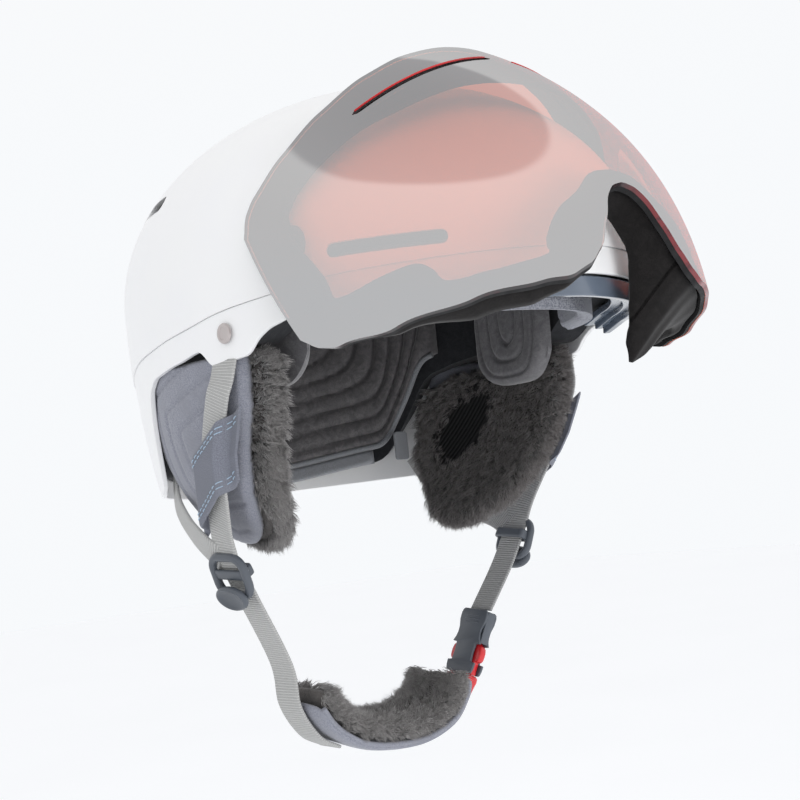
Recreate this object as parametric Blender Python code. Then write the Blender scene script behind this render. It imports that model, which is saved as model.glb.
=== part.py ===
"""Ski helmet with a flip-up visor, in metres: +Z up, -Y the wearer's front, +X the wearer's left.

The origin is the middle of the head opening. The visor is modelled raised, the chin strap buckled.
"""

from math import asin, cos, degrees, pi, radians, sin, sqrt

import bmesh
import bpy
from mathutils import Matrix, Vector

MM = 0.001
GAP = 0.3 * MM  # between pieces that touch

# Shell: a superellipsoid about SHELL_CENTRE
SHELL_HALF = (112.4 * MM, 136.2 * MM, 93.8 * MM)
SHELL_CENTRE = (0.0, 5.7 * MM, 40.7 * MM)
SHELL_POWER = 2.03
SHELL_LOWER_HALF = 230 * MM  # below its middle it draws in more slowly
SHELL_WALL = 2.4 * MM
LOWER_SHELL_OUT = 0.7 * MM
LINER_OUT = 4.6 * MM
LINER_WALL = 19.0 * MM
PAD_OUT = LINER_OUT + LINER_WALL + 1.6 * MM
# Heights of the shell's lower edge and of its seam, by degrees round from the front
EDGE_HEIGHTS = ((0, 24), (45, 22), (60, 18), (66, 15), (69, 12), (73, 5), (84, 3), (88, 11), (98, 8),
                (110, 5), (115, 0), (118, -14), (120, -30), (123, -44), (130, -48), (180, -50))
LINER_HEIGHTS = ((0, 28), (60, 22), (73, 10), (88, 15), (111, 10), (124, 5), (132, -18), (140, -38),
                 (180, -46))
SEAM_HEIGHTS = ((0, 36), (50, 32), (66, 28), (78, 26), (94, 21), (115, 16), (150, 4), (180, -2))

TAB_TURN = 134

# Vents on each side: middle, length, height, turn about Z in degrees
REAR_VENT = ((90 * MM, 54 * MM, 86 * MM), 30 * MM, 7 * MM, 22)
FRONT_VENT = ((79 * MM, -89 * MM, 41.5 * MM), 50 * MM, 6 * MM, -39)

# Visor lens: an elliptic sheet, narrower towards its top and bottom, tipped back about its middle
LENS_HALF = (117.7 * MM, 123.2 * MM)
LENS_WALL = 2.0 * MM
LENS_TAPER = (0.072, 0.058)  # lost at LENS_TAPER_HEIGHT below the middle, and above it
LENS_TAPER_HEIGHT = 50 * MM
LENS_ORIGIN = (0.0, -31.4 * MM, 16.8 * MM)
LENS_TILT = radians(43.9)
LENS_END = 77.5  # degrees round at mid-height, where its rear edge is
LENS_END_LEAN = 0.10  # degrees round per millimetre of height
LENS_TOP = ((0, 57), (0.12, 56.5), (0.3, 53.5), (0.46, 48.5), (0.645, 41.5), (0.8, 35.5), (0.93, 30),
            (0.975, 26), (1, 18))
LENS_BOTTOM = ((0, -52), (0.045, -53.5), (0.083, -58), (0.12, -67), (0.175, -77), (0.235, -82), (0.31, -83.5),
               (0.4, -80.5), (0.585, -72.5), (0.79, -61), (0.93, -49), (0.98, -42), (1, -33))
SLOT_ENDS = (3.5, 43.0)  # degrees round
SLOT_HEIGHTS = (38 * MM, 27 * MM)  # at those ends
SLOT_OPENING = 3.2 * MM
HINGE = (0.0, -58 * MM, 46 * MM)
PIN_RADIUS = 3.5 * MM

WEB_WIDTH = 15 * MM
WEB_WALL = 1.6 * MM

BLOCK_FACES = ((0, 1, 3, 2), (4, 6, 7, 5), (0, 4, 5, 1), (2, 3, 7, 6), (0, 2, 6, 4), (1, 5, 7, 3))
CUTTER_FINISH = ((255, 0, 0), 0.5)


def srgb(value):
    """One colour step from 0-255 as Blender's linear value."""
    v = value / 255
    return v / 12.92 if v <= 0.04045 else ((v + 0.055) / 1.055) ** 2.4


def material(name, colour, roughness, metallic=0.0, alpha=1.0):
    made = bpy.data.materials.new(name)
    made.use_nodes = True
    shader = made.node_tree.nodes["Principled BSDF"]
    shader.inputs["Base Color"].default_value = (*map(srgb, colour), 1)
    shader.inputs["Roughness"].default_value = roughness
    shader.inputs["Metallic"].default_value = metallic
    shader.inputs["Alpha"].default_value = alpha
    return made


def add_mesh(name, points, faces, finish, parent=None, smooth=40):
    """One closed mesh object, its faces turned outwards."""
    mesh = bpy.data.meshes.new(name)
    mesh.from_pydata([tuple(p) for p in points], [], faces)
    work = bmesh.new()
    work.from_mesh(mesh)
    bmesh.ops.remove_doubles(work, verts=work.verts, dist=1e-6)
    bmesh.ops.recalc_face_normals(work, faces=work.faces)
    if work.calc_volume(signed=True) < 0:
        bmesh.ops.reverse_faces(work, faces=work.faces)
    work.to_mesh(mesh)
    work.free()
    mesh.shade_smooth()
    mesh.set_sharp_from_angle(angle=radians(smooth))
    mesh.materials.append(material(name, *finish))
    made = bpy.data.objects.new(name, mesh)
    bpy.context.scene.collection.objects.link(made)
    if parent is not None:
        made.matrix_world = parent.matrix_world.inverted() @ made.matrix_world
        made.parent = parent
    return made


def cut(target, cutters):
    for cutter in cutters:
        cutter.hide_render = True
        cutter.display_type = "WIRE"
        boolean = target.modifiers.new(cutter.name, "BOOLEAN")
        boolean.operation = "DIFFERENCE"
        boolean.object = cutter


def between(table, x):
    """Straight interpolation in a table of (place, value) pairs."""
    for (x0, y0), (x1, y1) in zip(table, table[1:]):
        if x <= x1:
            return y0 + (y1 - y0) * (x - x0) / (x1 - x0)
    return table[-1][1]


def smooth_between(table, x):
    """The same with level ends to each stretch, mixed half and half, so corners soften."""
    for (x0, y0), (x1, y1) in zip(table, table[1:]):
        if x <= x1:
            t = (x - x0) / (x1 - x0)
            eased = t * t * (3 - 2 * t)
            return y0 + (y1 - y0) * (t + eased) / 2
    return table[-1][1]


def grid_faces(rows, columns, start=0, around=False, flip=False):
    faces = []
    for i in range(rows - 1):
        for j in range(columns if around else columns - 1):
            k = (j + 1) % columns
            a, b = start + i * columns + j, start + i * columns + k
            face = (a, b, b + columns, a + columns)
            faces.append(face[::-1] if flip else face)
    return faces


def sheet_solid(name, outer, inner, finish, around=False, parent=None):
    """A closed body between two grids of points of the same size, its rim joined."""
    rows, columns = len(outer), len(outer[0])
    points = [p for row in outer for p in row] + [p for row in inner for p in row]
    other = rows * columns
    faces = grid_faces(rows, columns, 0, around) + grid_faces(rows, columns, other, around, True)
    rim = [(i, i + 1) for i in range(columns - 1)]
    last = (rows - 1) * columns
    if around:
        rim.append((columns - 1, 0))
    for a, b in rim:
        faces.append((b, a, other + a, other + b))
        faces.append((last + a, last + b, other + last + b, other + last + a))
    if not around:
        for i in range(rows - 1):
            a, b = i * columns, (i + 1) * columns
            faces.append((a, b, other + b, other + a))
            a, b = a + columns - 1, b + columns - 1
            faces.append((b, a, other + a, other + b))
    return add_mesh(name, points, faces, finish, parent)


# Shell family


def half_height(offset, height):
    """The inset shell's half height: below the middle only its sides move in."""
    return SHELL_HALF[2] - offset if height > SHELL_CENTRE[2] else SHELL_LOWER_HALF


def shell_ring(offset, height):
    """The reach of the shell, inset by offset, at a height: 1 at its widest."""
    up = min(abs(height - SHELL_CENTRE[2]) / half_height(offset, height), 1.0)
    return (1 - up**SHELL_POWER) ** (1 / SHELL_POWER)


def shell_point(turn, height, offset):
    """A point of the shell, inset by offset, turn degrees round from the front towards +X."""
    s, c = sin(radians(turn)), cos(radians(turn))
    a, b = SHELL_HALF[0] - offset, SHELL_HALF[1] - offset
    reach = ((abs(s) / a) ** SHELL_POWER + (abs(c) / b) ** SHELL_POWER) ** (-1 / SHELL_POWER)
    reach *= shell_ring(offset, height)
    return Vector((reach * s, SHELL_CENTRE[1] - reach * c, height))


def shell_rows(turn, low, high, offset, count):
    """Points up the shell at one turn, evenly spaced in angle, so the crown keeps its shape."""
    def lift(height):
        part = min(1.0, abs(height - SHELL_CENTRE[2]) / half_height(offset, height))
        return asin(part ** (SHELL_POWER / 2)) * (1 if height >= SHELL_CENTRE[2] else -1)

    rows = []
    for i in range(count):
        angle = lift(low) + (lift(high) - lift(low)) * i / (count - 1)
        half = half_height(offset, SHELL_CENTRE[2] + angle)
        rise = abs(sin(angle)) ** (2 / SHELL_POWER) * (1 if angle >= 0 else -1)
        rows.append(shell_point(turn, SHELL_CENTRE[2] + half * rise, offset))
    return rows


def fold(turn):
    """Degrees round from the front, the same on both sides."""
    return abs((turn + 180) % 360 - 180)


def edge_height(turn):
    return smooth_between(EDGE_HEIGHTS, fold(turn)) * MM


def liner_height(turn):
    return smooth_between(LINER_HEIGHTS, fold(turn)) * MM


def seam_height(turn):
    return smooth_between(SEAM_HEIGHTS, fold(turn)) * MM


def dome(name, offset, wall, low, finish, columns, rows):
    """A closed cap of the shell family, open below, from a low edge (a function of the turn) to the crown."""
    turns = [360 * j / columns for j in range(columns)]
    points, faces = [], []
    for inset in (offset, offset + wall):
        start = len(points)
        crown = SHELL_CENTRE[2] + SHELL_HALF[2] - inset
        near_crown = crown - 0.0008
        grid = [shell_rows(t, low(t), near_crown, inset, rows) for t in turns]
        points += [grid[j][i] for i in range(rows) for j in range(columns)]
        faces += grid_faces(rows, columns, start, True, inset != offset)
        points.append(Vector((0, SHELL_CENTRE[1], crown)))
        top, ring = len(points) - 1, start + (rows - 1) * columns
        for j in range(columns):
            face = (ring + j, ring + (j + 1) % columns, top)
            faces.append(face if inset == offset else face[::-1])
    other = rows * columns + 1
    for j in range(columns):
        k = (j + 1) % columns
        faces.append((k, j, other + j, other + k))
    return add_mesh(name, points, faces, finish)


def band(name, offset, wall, low, high, turns, finish, rows=3, around=False):
    """A closed strip of the shell family between two heights, each a function of the turn."""
    sides = []
    for inset in (offset, offset + wall):
        grid = [shell_rows(t, low(t), high(t), inset, rows) for t in turns]
        sides.append([[grid[j][i] for j in range(len(turns))] for i in range(rows)])
    return sheet_solid(name, sides[0], sides[1], finish, around)


def spread(first, last, count):
    return [first + (last - first) * i / (count - 1) for i in range(count)]


def block(name, middle, size, finish, turn=0.0):
    """A plain block, turned about Z in degrees."""
    x, y, z = (half / 2 for half in size)
    points = [(i * x, j * y, k * z) for i in (-1, 1) for j in (-1, 1) for k in (-1, 1)]
    place = Matrix.Translation(middle) @ Matrix.Rotation(radians(turn), 4, "Z")
    return add_mesh(name, [place @ Vector(p) for p in points], BLOCK_FACES, finish)


def vent_cutters():
    made = []
    for label, (middle, length, height, turn) in (("rear", REAR_VENT), ("front", FRONT_VENT)):
        for side in (-1, 1):
            place = (side * middle[0], middle[1], middle[2])
            size = (75 * MM, length, height)
            made.append(block(f"cut_{label}_vent_{side}", place, size, CUTTER_FINISH, side * turn))
    return made


def make_shells():
    white = ((238, 238, 238), 0.35)
    vents = vent_cutters()
    upper = dome("outer_shell", 0, SHELL_WALL, lambda t: seam_height(t) + GAP, white, 54, 7)
    cut(upper, vents)
    half = spread(0, 108, 25) + spread(111, 126, 7) + spread(132, 174, 8)
    turns = half + [180] + [360 - t for t in half[:0:-1]]
    band("lower_shell", LOWER_SHELL_OUT, SHELL_WALL, edge_height, lambda t: seam_height(t) - GAP, turns,
         white, 4, True)
    liner = dome("shock_liner", LINER_OUT, LINER_WALL, liner_height, ((60, 62, 66), 0.8), 44, 7)
    cut(liner, vents)


def make_liners():
    velour = ((45, 45, 47), 0.95)
    knit = ((150, 152, 158), 0.9)
    out = PAD_OUT
    dome("crown_pad", out + 2 * MM, 6 * MM, lambda t: 94 * MM, velour, 24, 3)
    band("rear_pad", out + 1.0 * MM, 9 * MM, lambda t: liner_height(t) + 9 * MM, lambda t: 66 * MM,
         spread(118, 242, 21), velour, 7)
    band("nape_trim", out + 2.5 * MM, 6 * MM, lambda t: liner_height(t) - 1 * MM,
         lambda t: liner_height(t) + 7 * MM, spread(144, 216, 13), ((112, 114, 120), 0.85), 2)
    band("brow_pad", out, 8 * MM, lambda t: 17 * MM, lambda t: 48 * MM, spread(-52, 52, 19), knit, 4)
    for side, label in ((-1, "right"), (1, "left")):
        band(f"temple_pad_{label}", out + 1.8 * MM, 8 * MM, lambda t: -8 * MM, lambda t: 40 * MM,
             spread(side * 64, side * 100, 8), ((92, 94, 100), 0.9), 4)
    band("brow_frame", 1.2 * MM + SHELL_WALL, 13 * MM, lambda t: edge_height(t) - 9 * MM,
         lambda t: edge_height(t) - 0.5 * MM, spread(-56, 56, 23), ((120, 132, 148), 0.25), 3)
    band("liner_label", out + 11.2 * MM, 0.5 * MM, lambda t: -6 * MM, lambda t: 26 * MM, spread(196, 208, 4),
         ((18, 18, 19), 0.6), 3)
    tab = shell_point(TAB_TURN, liner_height(TAB_TURN), out + 13 * MM)
    block("nape_tab", tab + Vector((0, 0, -9 * MM)), (9 * MM, 1.6 * MM, 15 * MM), ((110, 112, 118), 0.8))


# Visor


def lens_place(turn, height, depth=0.0):
    """A point of the raised lens: turn degrees round, height up its own middle, depth inside its face."""
    narrow = 1 - LENS_TAPER[height > 0] * (height / LENS_TAPER_HEIGHT) ** 2
    x = (LENS_HALF[0] * narrow - depth) * sin(radians(turn))
    y = -(LENS_HALF[1] * narrow - depth) * cos(radians(turn))
    c, s = cos(LENS_TILT), sin(LENS_TILT)
    return Vector((x, LENS_ORIGIN[1] + y * c + height * s, LENS_ORIGIN[2] - y * s + height * c))


def lens_turn(u, height):
    """Degrees round at u, from -1 to 1 across the lens, whose rear edges lean."""
    return u * (LENS_END - LENS_END_LEAN * height / MM)


def lens_columns():
    """Places across the lens, closer together at the nose arch and at the rear corners."""
    near, far = spread(0, 0.24, 9), spread(0.28, 0.9, 11)
    half = near + far + [0.94, 0.97, 0.985, 1]
    return [-u for u in half[:0:-1]] + half


def lens_sheet(depth, rows=7):
    grid = []
    for i in range(rows):
        row = []
        for u in lens_columns():
            top = smooth_between(LENS_TOP, abs(u)) * MM
            low = smooth_between(LENS_BOTTOM, abs(u)) * MM
            height = low + (top - low) * i / (rows - 1)
            row.append(lens_place(lens_turn(u, height), height, depth))
        grid.append(row)
    return grid


def edge_loop():
    """The lens's edge once round, as (turn, height) in degrees and metres."""
    us = lens_columns()
    top, low = [], []
    for u in us:
        high = smooth_between(LENS_TOP, abs(u)) * MM
        deep = smooth_between(LENS_BOTTOM, abs(u)) * MM
        top.append((lens_turn(u, high), high))
        low.append((lens_turn(u, deep), deep))
    return low, top


def inset_loop(loop, distance):
    """The loop moved inwards on the lens's unrolled face."""
    flat = [Vector((radians(t) * LENS_HALF[0], h)) for t, h in loop]
    moved = []
    for i, p in enumerate(flat):
        along = flat[(i + 1) % len(flat)] - flat[i - 1]
        along.normalize()
        q = p + Vector((-along.y, along.x)) * distance
        moved.append((degrees(q.x / LENS_HALF[0]), q.y))
    return moved


def ring_solid(name, corners, finish, closed=True, parent=None):
    """A closed body whose section is a loop of corners, swept through the given stations."""
    count = len(corners[0])
    points = [p for station in corners for p in station]
    faces = []
    stations = len(corners)
    for i in range(stations if closed else stations - 1):
        for j in range(count):
            k = (j + 1) % count
            a, b = i * count, ((i + 1) % stations) * count
            faces.append((a + j, a + k, b + k, b + j))
    if not closed:
        faces.append(tuple(range(count))[::-1])
        faces.append(tuple((stations - 1) * count + j for j in range(count)))
    return add_mesh(name, points, faces, finish, parent)


def axis_at(name, place):
    """An empty on a joint's axis, which the moving pieces are parented to."""
    made = bpy.data.objects.new(name, None)
    made.location = place
    bpy.context.scene.collection.objects.link(made)
    bpy.context.view_layer.update()
    return made


def make_visor():
    root = axis_at("visor_hinge", HINGE)
    rose = ((205, 178, 172), 0.06, 0.0, 0.45)
    black = ((22, 22, 24), 0.7)
    lens = sheet_solid("visor_lens", lens_sheet(0), lens_sheet(LENS_WALL), rose, parent=root)
    slots = []
    for side in (-1, 1):
        turns = spread(side * SLOT_ENDS[0], side * SLOT_ENDS[1], 9)
        heights = spread(*SLOT_HEIGHTS, 9)
        faces = [[[lens_place(t, h + up * SLOT_OPENING / 2, depth) for t, h in zip(turns, heights)]
                  for up in (-1, 1)] for depth in (-4 * MM, 4 * MM)]
        slots.append(sheet_solid(f"cut_slot_{side}", *faces, CUTTER_FINISH, parent=root))
    cut(lens, slots)
    low, top = edge_loop()
    loop = low + top[::-1]
    rim, inner = inset_loop(loop, 1.2 * MM), inset_loop(loop, 6.5 * MM)
    front, back = LENS_WALL + 0.7 * MM, LENS_WALL + 3 * MM
    stations = []
    for a, b in list(zip(rim, inner))[::2]:
        section = ((a, front), (b, front), (b, back), (a, back))
        stations.append([lens_place(*place, depth) for place, depth in section])
    ring_solid("visor_frame", stations, black, parent=root)
    make_visor_foam(root, loop[: len(low)], back + 0.8 * MM)
    for side, label in ((-1, "right"), (1, "left")):
        make_pivot(side, label, root)


def foam_depth(turn):
    """How far the foam reaches inwards: thin beside the shell, deep across the face."""
    return between(((0, 12), (8, 15), (15, 26), (30, 30), (45, 20), (66, 7), (82, 3)), abs(turn)) * MM


def make_visor_foam(root, low, front):
    foam = ((26, 26, 27), 0.95)
    nose = 0.225 * LENS_END
    outer, inner = inset_loop(low, 2.5 * MM), inset_loop(low, 11 * MM)
    outer[0], outer[-1] = outer[1], outer[-2]
    inner[0], inner[-1] = inner[1], inner[-2]
    groups = {"visor_nose_foam": [], "visor_face_foam_right": [], "visor_face_foam_left": []}
    for (turn, height), a, b in zip(low[1:-1], outer[1:-1], inner[1:-1]):
        back = front + foam_depth(turn)
        station = [lens_place(*a, front), lens_place(*b, front),
                   lens_place(b[0], b[1] - 2 * MM, back), lens_place(a[0], a[1] + 1 * MM, back)]
        if abs(turn) <= nose:
            groups["visor_nose_foam"].append(station)
        elif turn < -nose - 1:
            groups["visor_face_foam_right"].append(station)
        elif turn > nose + 1:
            groups["visor_face_foam_left"].append(station)
    for name, stations in groups.items():
        ring_solid(name, stations, foam, closed=False, parent=root)


def turned_x(name, outline, middle, finish, side, sides=20, parent=None):
    """A turned piece about X: outline is a loop of (distance out along X, radius)."""
    stations = []
    for i in range(sides):
        angle = 2 * pi * i / sides
        stations.append([Vector((side * x, middle[1] + r * cos(angle), middle[2] + r * sin(angle)))
                         for x, r in outline])
    return ring_solid(name, stations, finish, parent=parent)


def make_pivot(side, label, root):
    steel = ((70, 72, 76), 0.35, 0.9)
    plastic = ((40, 42, 46), 0.5)
    wall = shell_x(HINGE[1], HINGE[2])
    inner = lens_place(71, 3 * MM, LENS_WALL)[0]
    disc(f"visor_pivot_pin_{label}", side, wall + 1.9 * MM, inner - 5.2 * MM, PIN_RADIUS, HINGE, steel, root)
    hole, low, high = PIN_RADIUS + 0.35 * MM, wall + 2.4 * MM, wall + 5 * MM
    outline = [(low, hole), (high, hole), (high, 8 * MM), (low, 8 * MM)]
    turned_x(f"visor_pivot_washer_{label}", outline, HINGE, plastic, side)


def shell_x(y, z, offset=0.0):
    """How far out the shell is at a side point, along X."""
    a, b, c = SHELL_HALF[0] - offset, SHELL_HALF[1] - offset, half_height(offset, z)
    left = 1 - (abs(y - SHELL_CENTRE[1]) / b) ** SHELL_POWER - (abs(z - SHELL_CENTRE[2]) / c) ** SHELL_POWER
    return a * max(left, 0.0) ** (1 / SHELL_POWER)


def disc(name, side, x0, x1, radius, middle, finish, parent=None, sides=20):
    points, faces = [], []
    for x in (x0, x1):
        for i in range(sides):
            angle = 2 * pi * i / sides
            points.append((side * x, middle[1] + radius * cos(angle), middle[2] + radius * sin(angle)))
    for i in range(sides):
        k = (i + 1) % sides
        faces.append((i, k, sides + k, sides + i))
    faces.append(tuple(range(sides))[::-1])
    faces.append(tuple(range(sides, 2 * sides)))
    return add_mesh(name, points, faces, finish, parent)


# Ear pads


EAR_OUTLINE = ((-25, 4), (-8, 0), (20, 3), (48, 1), (60, -8), (62.5, -24), (60, -42), (55, -57), (46, -67),
               (36, -73), (22, -71), (8, -62), (-5, -48), (-15, -32), (-23, -14))
FUR_OUTLINE = ((-29, 3), (-10, -2), (20, 0), (46, -2), (56, -12), (58, -26), (56, -42), (49, -54), (43, -64),
               (34, -74), (20, -74), (4, -66), (-9, -51), (-20, -33), (-29, -13))
MESH_OUTLINE = ((12, -2), (30, -4), (46, -12), (51, -28), (42, -40), (28, -36), (14, -20))
EAR_PAD_OUT = 108 * MM
EAR_DROP = 83 * MM  # down to the pad's lower end, where it is EAR_TUCK further in
EAR_TUCK = 34 * MM
# The strap loop: rows between these heights, columns these distances from the front strap's middle
LOOP_HEIGHTS = (-30, -60)
LOOP_ACROSS = (-17, -12.5, -9, 0, 9, 12.5, 17)
LOOP_SLOPE = -0.35
LOOP_OVER = 4.2 * MM  # from the strap's middle
LOOP_ON_PAD = 2.1 * MM
# The front strap's middle, by depth below the head opening
FRONT_STRAP_X = ((-2, 112), (12, 112), (35, 109.5), (56, 102), (68, 98), (84, 91.5))
FRONT_STRAP_Y = ((-2, -12), (12, -9), (35, 1), (56, 11), (68, 16), (84, 19))


def ear_x(y, z):
    """Where the ear pad's outer face is, across the head."""
    round_head = (shell_x(y, SHELL_CENTRE[2]) / SHELL_HALF[0]) ** 1.3
    return EAR_PAD_OUT * round_head - EAR_TUCK * (max(0.0, 8 * MM - z) / EAR_DROP) ** 2.6


def patch_solid(name, side, outline, outside, inside, finish, rings=3, between_points=2, crown=0.0):
    """A closed pad seen from the side, between two depths from the ear pad's outer face."""
    middle = (sum(p[0] for p in outline) / len(outline), sum(p[1] for p in outline) / len(outline))
    loop = []
    for i, p in enumerate(outline):
        before, after = outline[i - 1], outline[(i + 1) % len(outline)]
        beyond = outline[(i + 2) % len(outline)]
        for j in range(between_points):
            t = j / between_points
            loop.append([curve_value(before[k], p[k], after[k], beyond[k], t) for k in (0, 1)])
    points, faces = [], []
    for depth, bulge in ((outside, crown), (inside, -crown)):
        start = len(points)
        for r in range(1, rings + 1):
            part = r / rings
            for y, z in loop:
                y, z = middle[0] + (y - middle[0]) * part, middle[1] + (z - middle[1]) * part
                x = ear_x(y * MM, z * MM) - depth + bulge * (1 - part**3)
                points.append((side * x, y * MM, z * MM))
        y, z = middle[0] * MM, middle[1] * MM
        points.append((side * (ear_x(y, z) - depth + bulge), y, z))
        flip = depth == inside
        faces += grid_faces(rings, len(loop), start, True, flip)
        for j in range(len(loop)):
            face = (start + (j + 1) % len(loop), start + j, len(points) - 1)
            faces.append(face[::-1] if flip else face)
    first = (rings - 1) * len(loop)
    other = rings * len(loop) + 1 + first
    for j in range(len(loop)):
        k = (j + 1) % len(loop)
        faces.append((first + j, first + k, other + k, other + j))
    return add_mesh(name, points, faces, finish)


def make_strap_loop(side, label):
    """A fabric band over the front strap, its two ends lying on the ear pad."""
    faces = []
    for lift in (1.0 * MM, -0.4 * MM):
        grid = []
        for z in spread(*LOOP_HEIGHTS, 6):
            row = []
            for along in LOOP_ACROSS:
                y = between(FRONT_STRAP_Y, -z) * MM + along * MM
                height = z * MM + along * LOOP_SLOPE * MM
                x = between(FRONT_STRAP_X, -height / MM) * MM + LOOP_OVER
                if abs(along) > WEB_WIDTH / MM / 2 + 2:
                    x = max(ear_x(y, height) + LOOP_ON_PAD, x - 6 * MM)
                row.append((side * (x + lift), y, height))
            grid.append(row)
        faces.append(grid)
    sheet_solid(f"ear_strap_loop_{label}", *faces, ((118, 120, 130), 0.9))


def curve_value(a, b, c, d, t):
    """A smooth curve through b and c, at t from 0 to 1."""
    return 0.5 * (2 * b + (c - a) * t + (2 * a - 5 * b + 4 * c - d) * t * t + (3 * b - a - 3 * c + d) * t**3)


def smooth_path(points, steps):
    """Points of one smooth curve through the given points."""
    ends = [2 * Vector(points[0]) - Vector(points[1])] + [Vector(p) for p in points]
    ends.append(2 * ends[-1] - ends[-2])
    path = []
    for i in range(1, len(ends) - 2):
        for j in range(steps):
            t = j / steps
            path.append(Vector([curve_value(*(ends[i + m][k] for m in (-1, 0, 1, 2)), t) for k in range(3)]))
    path.append(ends[-2])
    return path


def ribbon(name, points, across, finish, width=WEB_WIDTH, wall=WEB_WALL, steps=4, parent=None):
    """Flat webbing along a smooth path: across is its width's direction at each point."""
    path = smooth_path(points, steps)
    stations = []
    for i, p in enumerate(path):
        along = path[min(i + 1, len(path) - 1)] - path[max(i - 1, 0)]
        along.normalize()
        place = i / steps
        low = min(int(place), len(points) - 2)
        wide = Vector(across[low]).lerp(Vector(across[low + 1]), place - low)
        wide = (wide - along * wide.dot(along)).normalized()
        thick = along.cross(wide)
        stations.append([p + wide * (i1 * width / 2) + thick * (i2 * wall / 2)
                         for i1, i2 in ((-1, -1), (1, -1), (1, 1), (-1, 1))])
    return ring_solid(name, stations, finish, closed=False, parent=parent)


# Chin strap. The straps meet in a slider on each side and run down from it.

SLIDER_AT = (91 * MM, 19 * MM, -85 * MM)
SLIDER_DOWN = (-0.497, 0.10, -0.862)
SOCKET_AT = (65 * MM, 23 * MM, -122 * MM)
SOCKET_DOWN = Vector((-0.42, 0.12, -0.90)).normalized()
SOCKET_LENGTH = 33 * MM
TONGUE_REACH = 17 * MM  # inside the socket
RIVET_AT = (-17 * MM, 16 * MM)
DISC_SQUASH = 0.62
SLIDER_HALF = (5 * MM, 11.5 * MM, 4.5 * MM)  # thickness, width and height


def side_axes(down):
    """Directions of a hanging strap: its thickness, its width and its length."""
    width = Vector((0, 1, 0))
    width = (width - down * width.dot(down)).normalized()
    return width.cross(down).normalized(), width, down


def local_block(name, origin, axes, low, high, finish, parent=None):
    """A block between two corners given along three directions."""
    points = []
    for i in (0, 1):
        for j in (0, 1):
            for k in (0, 1):
                a, b, c = (low, high)[i][0], (low, high)[j][1], (low, high)[k][2]
                points.append(Vector(origin) + axes[0] * a + axes[1] * b + axes[2] * c)
    return add_mesh(name, points, BLOCK_FACES, finish, parent)


def frame_outline(width, height, corner, turns=4):
    """A rounded rectangle, once round, as (across, up) pairs."""
    points = []
    for sx, sy, first in ((1, 1, 0), (-1, 1, 90), (-1, -1, 180), (1, -1, 270)):
        for i in range(turns + 1):
            angle = radians(first + 90 * i / turns)
            points.append((sx * (width - corner) + corner * cos(angle),
                           sy * (height - corner) + corner * sin(angle)))
    return points


def make_slider(side, label, down):
    """An open ring round the webbing, with a thumb disc on its outer face."""
    slate = ((80, 86, 94), 0.4)
    thick, width, along = side_axes(down)
    if thick.x * side < 0:
        thick = -thick
    middle = Vector((side * SLIDER_AT[0], SLIDER_AT[1], SLIDER_AT[2]))
    root = axis_at(f"slider_slide_{label}", middle)
    outer = frame_outline(SLIDER_HALF[1], SLIDER_HALF[0], 2.4 * MM)
    inner = frame_outline(SLIDER_HALF[1] - 2.8 * MM, SLIDER_HALF[0] - 2.4 * MM, 1.0 * MM)
    half = SLIDER_HALF[2]
    stations = []
    for (a, b), (c, d) in zip(outer, inner):
        section = ((a, b, -half), (c, d, -half), (c, d, half), (a, b, half))
        stations.append([middle + width * i + thick * j + along * k for i, j, k in section])
    ring_solid(f"strap_slider_{label}", stations, slate, parent=root)
    centre = middle + along * 9.5 * MM + thick * 4.6 * MM
    points, faces = [], []
    sides = 20
    for level, radius in ((0.9 * MM, 9 * MM), (2.6 * MM, 10 * MM), (4.4 * MM, 9 * MM)):
        for i in range(sides):
            angle = 2 * pi * i / sides
            oval = width * cos(angle) + along * DISC_SQUASH * sin(angle)
            points.append(centre + thick * level + oval * radius)
    faces = grid_faces(3, sides, 0, True)
    faces.append(tuple(range(sides)))
    faces.append(tuple(range(2 * sides, 3 * sides))[::-1])
    add_mesh(f"slider_disc_{label}", points, faces, slate, root)


def strap_points(side, raw):
    return [Vector((side * x * MM, y * MM, z * MM)) for x, y, z in raw]


def make_straps():
    rivet_metal = ((196, 186, 184), 0.35, 0.6)
    for side, label, grey in ((-1, "right", (190, 190, 188)), (1, "left", (150, 149, 150))):
        web = (grey, 0.85)
        down = Vector((side * SLIDER_DOWN[0], *SLIDER_DOWN[1:])).normalized()
        _, width, along = side_axes(down)
        top = Vector((side * SLIDER_AT[0], SLIDER_AT[1], SLIDER_AT[2])) - along * 9 * MM
        raw = [(x, y, -drop) for (drop, x), (_, y) in zip(FRONT_STRAP_X[:5], FRONT_STRAP_Y)]
        front = strap_points(side, raw)
        front.append(top - along * 1.5 * MM)
        across = [(0, 1, 0.25)] * 3 + [(0, 1, 0.3), (0, 1, 0.2), tuple(width)]
        ribbon(f"front_strap_{label}", front, across, web)
        rear = strap_points(side, ((80, 73, -36), (85.5, 65, -52), (91, 48, -65), (95, 31, -74)))
        across = [(side * 0.4, -0.75, 0.5)] * 2 + [(side * 0.45, -0.6, 0.7), (side * 0.45, -0.54, 0.77)]
        ribbon(f"rear_strap_{label}", rear, across, web)
        x = shell_x(*RIVET_AT, 0.7 * MM)
        disc(f"strap_rivet_{label}", side, x + 2 * GAP, x + 1.9 * MM, 4.4 * MM, (0, *RIVET_AT), rivet_metal)
        make_slider(side, label, down)


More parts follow.
